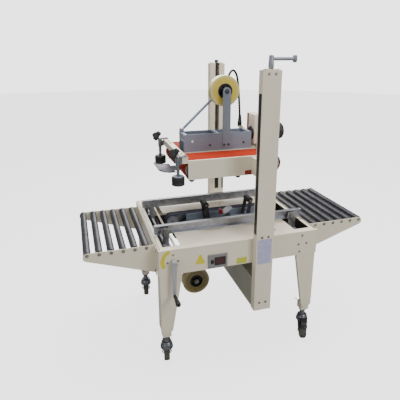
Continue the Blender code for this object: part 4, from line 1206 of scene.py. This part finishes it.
# %% Plate screws, axle nuts and hubs of the tape heads
screws = []
arm_x = upper_place[0]
for x, z in ((arm_x - 0.012, 1.078), (arm_x + 0.012, 1.078)):
    screws += bolt((x, -0.0538, z), (0, -1, 0), 0.0045)
for side in (-1, 1):
    for x, z in ((-0.074, 1.080), (0.116, 1.084)):
        screws += bolt((x, side * 0.0500, z), (0, side, 0), 0.0042)
screws += bolt((arm_x, -0.0538, upper_place[2]), (0, -1, 0), 0.0085)
screws.append(bar((arm_x, 0.0422, upper_place[2]), (arm_x, 0.0440, upper_place[2]), 0.0150))
piece("upper_head_screws", "head", {"dark_steel": screws})
nuts = bolt((lower_place[0], -0.0322, lower_place[2]), (0, -1, 0), 0.0095)
for x, z in ((-0.160, 0.640), (0.110, 0.640), (0.255, 0.640)):
    nuts += bolt((x, -0.0500, z), (0, -1, 0), 0.0038) + bolt((x, 0.0500, z), (0, 1, 0), 0.0038)
piece("lower_head_screws", "bed", {"bolt_steel": nuts})
SKI_TOP = ((-0.2690, 0.9581), (-0.3000, 0.9581), (-0.3300, 0.9631), (-0.3538, 0.9730))
ski_face = [(x, z) for x, z in SKI_TOP] + [(x, z + 0.0006) for x, z in reversed(SKI_TOP)]
ski_rim = [(x, z - 0.0005) for x, z in SKI_TOP] + [(x, z + 0.0022) for x, z in reversed(SKI_TOP)]
rims = [plate(ski_rim, s * 0.0785, s * 0.0802, 0.0003) for s in (-1, 1)]
rims.append(block(-0.3553, -0.3538, -0.0800, 0.0800, 0.9702, 0.9745, 0.0004))
piece("ski_plate", "head", {"bright_steel": [plate(ski_face, -0.0784, 0.0784, 0.0)], "dark_steel": rims})
white = [
    block(-0.2150, -0.1960, 0.0275, 0.0465, 1.1583, 1.1640, 0.001),
    block(-0.1765, -0.1655, -0.0535, -0.0502, 1.0985, 1.1105)
]
piece("nylon_stops", "head", {"white_nylon": white})

# %% [markdown]
# ## The feeler and the chute of the lower head
# Between the lower arms, a red plastic feeler on a thin wire senses the tape, and a polished chute guides
# the carton's flaps over the knife.

# %% Feeler and chute
feeler = [
    block(-0.010, 0.008, -0.030, -0.012, 0.672, 0.700, 0.003),
    block(-0.002, 0.016, -0.016, 0.006, 0.664, 0.686, 0.002)
]
wire = [bar((-0.004, -0.021, 0.698), (-0.006, -0.021, 0.738), 0.0014, sides=12)]
chute = [(0.020, 0.668), (0.060, 0.694), (0.072, 0.696), (0.072, 0.6945), (0.0605, 0.6925), (0.0215, 0.6665)]
piece("lower_feeler", "bed", {"label_red": feeler, "bolt_steel": wire})
piece("lower_chute", "bed", {"bright_steel": [plate(chute, -0.030, 0.030, 0.0002)]})

# %% [markdown]
# ## Head motor
# The upper belts are driven by a geared motor behind a square terminal box. A fan-cooled motor has thin
# ribs along its case and a domed cowl, so the ribs are small blocks set round a turned case.

# %% Motor, box and ribs
x0, x1, y0, y1, z0, z1 = span("upper_motor")
box_x1 = 0.220
case = [(0.0, box_x1), (0.0400, box_x1), (0.0405, box_x1 + 0.004), (0.0405, 0.316), (0.0, 0.316)]
cowl = [
    (0.0, 0.314), (0.0452, 0.314), (0.0457, 0.317), (0.0457, 0.350), (0.0440, 0.3570), (0.0390, 0.3625),
    (0.0340, 0.3634), (0.0, 0.3635)
]
MOTOR_AXIS_Z = 1.126
axis = (0, 0, MOTOR_AXIS_Z)
black = [turned(case, axis, "X", 56), turned(cowl, axis, "X", 56)]
for step in range(24):
    rib = block(0.228, 0.310, -0.0008, 0.0008, 0.0390, 0.0452, 0.0002)
    black.append(shifted(spun(rib, 15 * step, "X"), axis))
grille = [
    turned([(r, 0.3628), (r + 0.0016, 0.3628), (r + 0.0016, 0.3639), (r, 0.3639)], axis, "X", 40, True)
    for r in (0.010, 0.018, 0.026)
]
shell = [block(x0, box_x1, y0, y1, z0, z1, 0.0035)]
lid = [block(x0 - 0.0002, x0 + 0.0030, y0 + 0.004, y1 - 0.004, z0 + 0.004, z1 - 0.004, 0.0010)]
hub = [
    (0.0, x0 - 0.0110), (0.016, x0 - 0.0110), (0.019, x0 - 0.0080), (0.033, x0 - 0.0070),
    (0.037, x0 - 0.0030), (0.038, x0 + 0.0040), (0.0, x0 + 0.0040)
]
socket = [turned(hub, (0, -0.0120, MOTOR_AXIS_Z), "X", 48)]
red_strip = [block(x0 - 0.0012, x0 + 0.002, 0.029, y1 - 0.001, z0 + 0.020, z1 - 0.003, 0.0004)]
shapes = {
    "cream_paint": shell + lid, "motor_paint": black + grille, "black_plastic": socket, "label_red": red_strip
}
piece("upper_drive_motor", "head", shapes, ["upper_motor"])
print("motor reaches x", round(x1, 3))

# %% [markdown]
# ## The head's cable
# The motor's cable rises from the tape head in one stiff loop and comes down into a gland on a bracket.
# It is a curve with a round bevel, because a cable keeps one diameter along a smooth line. Its route
# repeats the one that the frame was built on, and both ends get a tapered strain relief.

# %% Cable and strain reliefs
CABLE_RADIUS = 0.0062
KNOTS = [
    (0.046, 0.049, 1.1463),
    (0.046, 0.050, 1.200),
    (0.048, 0.055, 1.300),
    (0.056, 0.063, 1.385),
    (0.074, 0.071, 1.437),
    (0.097, 0.078, 1.455),
    (0.119, 0.083, 1.432),
    (0.131, 0.086, 1.380),
    (0.139, 0.088, 1.300),
    (0.145, 0.089, 1.220),
    (0.147, 0.090, 1.1623),
]


def smooth_route(points, spacing):
    """Points on a smooth curve through the route's own points, about evenly spaced."""
    knots = [Vector(point) for point in points]
    knots = [2 * knots[0] - knots[1], *knots, 2 * knots[-1] - knots[-2]]
    route = []
    for a, b, c, d in zip(knots, knots[1:], knots[2:], knots[3:]):
        steps = max(1, round((c - b).length / spacing))
        for i in range(steps):
            t = i / steps
            cubic = (3 * b - a - 3 * c + d) * t**3
            route.append(0.5 * (2 * b + (c - a) * t + (2 * a - 5 * b + 4 * c - d) * t * t + cubic))
    return [*route, knots[-2]]


route = [point + Vector((0, MIDDLE, 0)) for point in smooth_route(KNOTS, 0.012)]
curve = bpy.data.curves.new("motor_cable", "CURVE")
curve.dimensions = "3D"
curve.bevel_depth = CABLE_RADIUS
curve.bevel_resolution = 5
curve.use_fill_caps = True
spline = curve.splines.new("POLY")
spline.points.add(len(route) - 1)
for target, point in zip(spline.points, route):
    target.co = (*point, 1.0)
spline.use_smooth = True
curve.materials.append(FINISH["cable_jacket"])
cable = bpy.data.objects.new("motor_cable", curve)
bpy.context.scene.collection.objects.link(cable)
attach(cable, "head")
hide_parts("head_cable")
cable_length = sum((b - a).length for a, b in zip(route, route[1:]))
relief = [
    (0.0058, 0.0), (0.0125, 0.0), (0.0128, 0.010), (0.0105, 0.012), (0.0100, 0.022), (0.0066, 0.050),
    (0.0058, 0.050)
]
glands = [turned(relief, (0.046, 0.049, 1.1462), "Z", 32, True)]
glands.append(turned(relief, (0.147, 0.090, 1.1620), "Z", 32, True))
glands += [bar((0.147, 0.090, 1.1455), (0.147, 0.090, 1.1618), 0.0125, sides=6)]
piece("strain_reliefs", "head", {"black_plastic": glands})
print("cable length:", round(cable_length, 3))

# %% [markdown]
# ## Head frame fasteners
# The crossbars, the channels and the motor's plate are bolted together, and a few heads on the front
# channel and the crossbars give the head its scale.

# %% Bolts on the head
heads = []
for side in (-1, 1):
    heads += bolts([(x, side * 0.2240, z) for x, z in ((0.212, 1.020), (0.212, 0.975))], (0, side, 0), 0.0042)
    heads += bolts([(-0.2545, side * y, 1.0700) for y in (0.100, 0.150)], (0, 0, 1), 0.0040)
    heads += bolts([(0.212, side * y, 1.0700) for y in (0.100, 0.190)], (0, 0, 1), 0.0042)
piece("head_bolts", "head", {"dark_steel": heads})

# %% [markdown]
# ## The switch
# The start switch sits in a grey plate: a raised rim frames the red rocker, a small black block beside it
# stands for the overload button, and four screws hold the plate.

# %% Switch rim, button and screws
x0, x1, y0, y1, z0, z1 = span("switch_plate")
rx0, rx1, ry0, ry1, rz0, rz1 = span("switch_rocker")
rim = [
    block(rx0 - 0.005, rx1 + 0.005, y0 - 0.0022, y0 + 0.001, rz1 + 0.0008, rz1 + 0.0052),
    block(rx0 - 0.005, rx1 + 0.005, y0 - 0.0022, y0 + 0.001, rz0 - 0.0052, rz0 - 0.0008),
    block(rx0 - 0.005, rx0 - 0.0010, y0 - 0.0022, y0 + 0.001, rz0 - 0.0010, rz1 + 0.0010),
    block(rx1 + 0.0010, rx1 + 0.005, y0 - 0.0022, y0 + 0.001, rz0 - 0.0010, rz1 + 0.0010),
]
button = [block(rx0 - 0.024, rx0 - 0.010, y0 - 0.0040, y0 + 0.001, rz0 + 0.006, rz1 - 0.006, 0.0012)]
heads = [
    bar((x, y0 - 0.0016, z), (x, y0 + 0.0005, z), 0.0036) for x in (x0 + 0.008, x1 - 0.008)
    for z in (z0 + 0.008, z1 - 0.008)
]
piece("switch_fittings", "bed", {"black_plastic": rim, "motor_paint": button, "bolt_steel": heads})

# %% [markdown]
# ## Plain labels
# The real panels carry stickers. Here they are blank plates in the same colours and places, half a
# millimetre proud, with rounded corners.


# %% Stickers without any text
def front_label(x0, x1, z0, z1, face, corner=0.004):
    """A rounded rectangle on a face that looks towards the operator."""
    outline = arc((x1 - corner, z1 - corner), corner, 0, 90, 4)
    outline += arc((x0 + corner, z1 - corner), corner, 90, 180, 4)
    outline += arc((x0 + corner, z0 + corner), corner, 180, 270, 4)
    outline += arc((x1 - corner, z0 + corner), corner, 270, 360, 4)
    return plate(outline, face - 0.0007, face - 0.0001, 0.0)


panel = bed_low.y - MIDDLE
column_face = span("column_front")[2]
piece("column_label", "bed", {"label_lilac": [front_label(0.0625, 0.1385, 0.535, 0.668, column_face)]})
piece("rating_label", "bed", {"label_lime": [front_label(-0.030, 0.024, 0.532, 0.565, panel)]})
piece("head_label", "head", {"label_red": [front_label(0.057, 0.0925, 0.954, 0.978, -0.2240, 0.002)]})
triangle = arc((-0.220, 0.609), 0.005, 35, 145, 4)
triangle += arc((-0.239, 0.569), 0.005, 145, 275, 4)
triangle += arc((-0.201, 0.569), 0.005, 265, 395, 4)
piece("hazard_label", "bed", {"label_yellow": [plate(triangle, panel - 0.0007, panel - 0.0001, 0.0)]})
bend = (-0.354, 0.600)
swoosh = arc(bend, 0.062, 108, 215, 16) + arc((bend[0] + 0.003, bend[1]), 0.046, 213, 112, 16)
piece("crank_label", "bed", {"label_yellow": [plate(swoosh, panel - 0.0007, panel - 0.0001, 0.0)]})
deck_label = block(0.184, 0.214, -0.305, -0.272, bed_high.z + 0.0001, bed_high.z + 0.0007, 0.0)
piece("deck_label", "bed", {"label_lilac": [deck_label]})

# %% [markdown]
# ## Floor and light
# A plain pale floor and large soft lamps show the machine as in a studio, with gentle shadows and no
# strong colour. The floor looks bright to the camera but sends little light back up, so that the
# undersides stay dark: a Light Path node tells the two kinds of ray apart.

# %% Floor
FLOOR_RADIUS = 14.0
FLOOR_GLOW = 3.4
GLOW_SHARE = 0.70
floor_shape = bmesh.new()
bmesh.ops.create_circle(floor_shape, cap_ends=True, segments=64, radius=FLOOR_RADIUS)
bmesh.ops.translate(floor_shape, vec=(0, 0, -0.0005), verts=floor_shape.verts)
floor_mesh = bpy.data.meshes.new("floor")
floor_shape.to_mesh(floor_mesh)
floor_shape.free()
coated("floor_white", (0.90, 0.90, 0.90), (0.88, 0.88, 0.88), 0.75, 200.0, 1.0, 0.3, bump=0.0)
floor_tree = FINISH["floor_white"].node_tree
seen = add(floor_tree, "LightPath").outputs["Is Camera Ray"]
glow = add(floor_tree, "Emission", {"Color": (1.0, 1.0, 1.0, 1.0), "Strength": FLOOR_GLOW})
dim = add(floor_tree, "BsdfDiffuse", {"Color": (0.35, 0.35, 0.34, 1.0)})
painted = floor_tree.nodes["Principled BSDF"]
bright = add(floor_tree, "MixShader", {0: GLOW_SHARE, 1: painted.outputs[0], 2: glow.outputs[0]})
final = add(floor_tree, "MixShader", {0: seen, 1: dim.outputs[0], 2: bright.outputs[0]})
floor_tree.links.new(final.outputs[0], floor_tree.nodes["Material Output"].inputs["Surface"])
floor_mesh.materials.append(FINISH["floor_white"])
floor = bpy.data.objects.new("floor", floor_mesh)
bpy.context.scene.collection.objects.link(floor)
floor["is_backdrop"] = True
print("floor radius", FLOOR_RADIUS, "m")


# %% Lamps and sky
SKY_LIGHT = 0.38
SKY_SEEN = 3.0


def lamp(name, place, target, size, power):
    """A round soft lamp of a given width in metres and power in watts, turned to its target."""
    data = bpy.data.lights.new(name, "AREA")
    data.shape = "DISK"
    data.size = size
    data.energy = power
    made = bpy.data.objects.new(name, data)
    made.location = place
    made.rotation_euler = (Vector(target) - Vector(place)).to_track_quat("-Z", "Y").to_euler()
    bpy.context.scene.collection.objects.link(made)
    print(f"{name} lamp: {power} W")


lamp("key", (1.5, -3.3, 2.9), (0, 0, 0.7), 1.8, 82)
lamp("fill", (-2.9, -2.2, 1.9), (0, 0, 0.7), 2.4, 22)
lamp("top", (0.1, 0.3, 3.8), (0, 0, 0.5), 2.2, 185)
lamp("back", (0.5, 3.5, 2.2), (0, 0, 0.8), 2.2, 40)
sky = bpy.data.worlds.new("sky")
sky.use_nodes = True
back = sky.node_tree.nodes["Background"]
back.inputs["Color"].default_value = (1.0, 1.0, 1.0, 1.0)
back.inputs["Strength"].default_value = SKY_LIGHT
white_back = add(sky.node_tree, "Background", {"Color": (1.0, 1.0, 1.0, 1.0), "Strength": SKY_SEEN})
seen = add(sky.node_tree, "LightPath").outputs["Is Camera Ray"]
both = add(sky.node_tree, "MixShader", {0: seen, 1: back.outputs[0], 2: white_back.outputs[0]})
sky.node_tree.links.new(both.outputs[0], sky.node_tree.nodes["World Output"].inputs["Surface"])
bpy.context.scene.world = sky

# %% Keep the sizes and close
low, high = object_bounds()
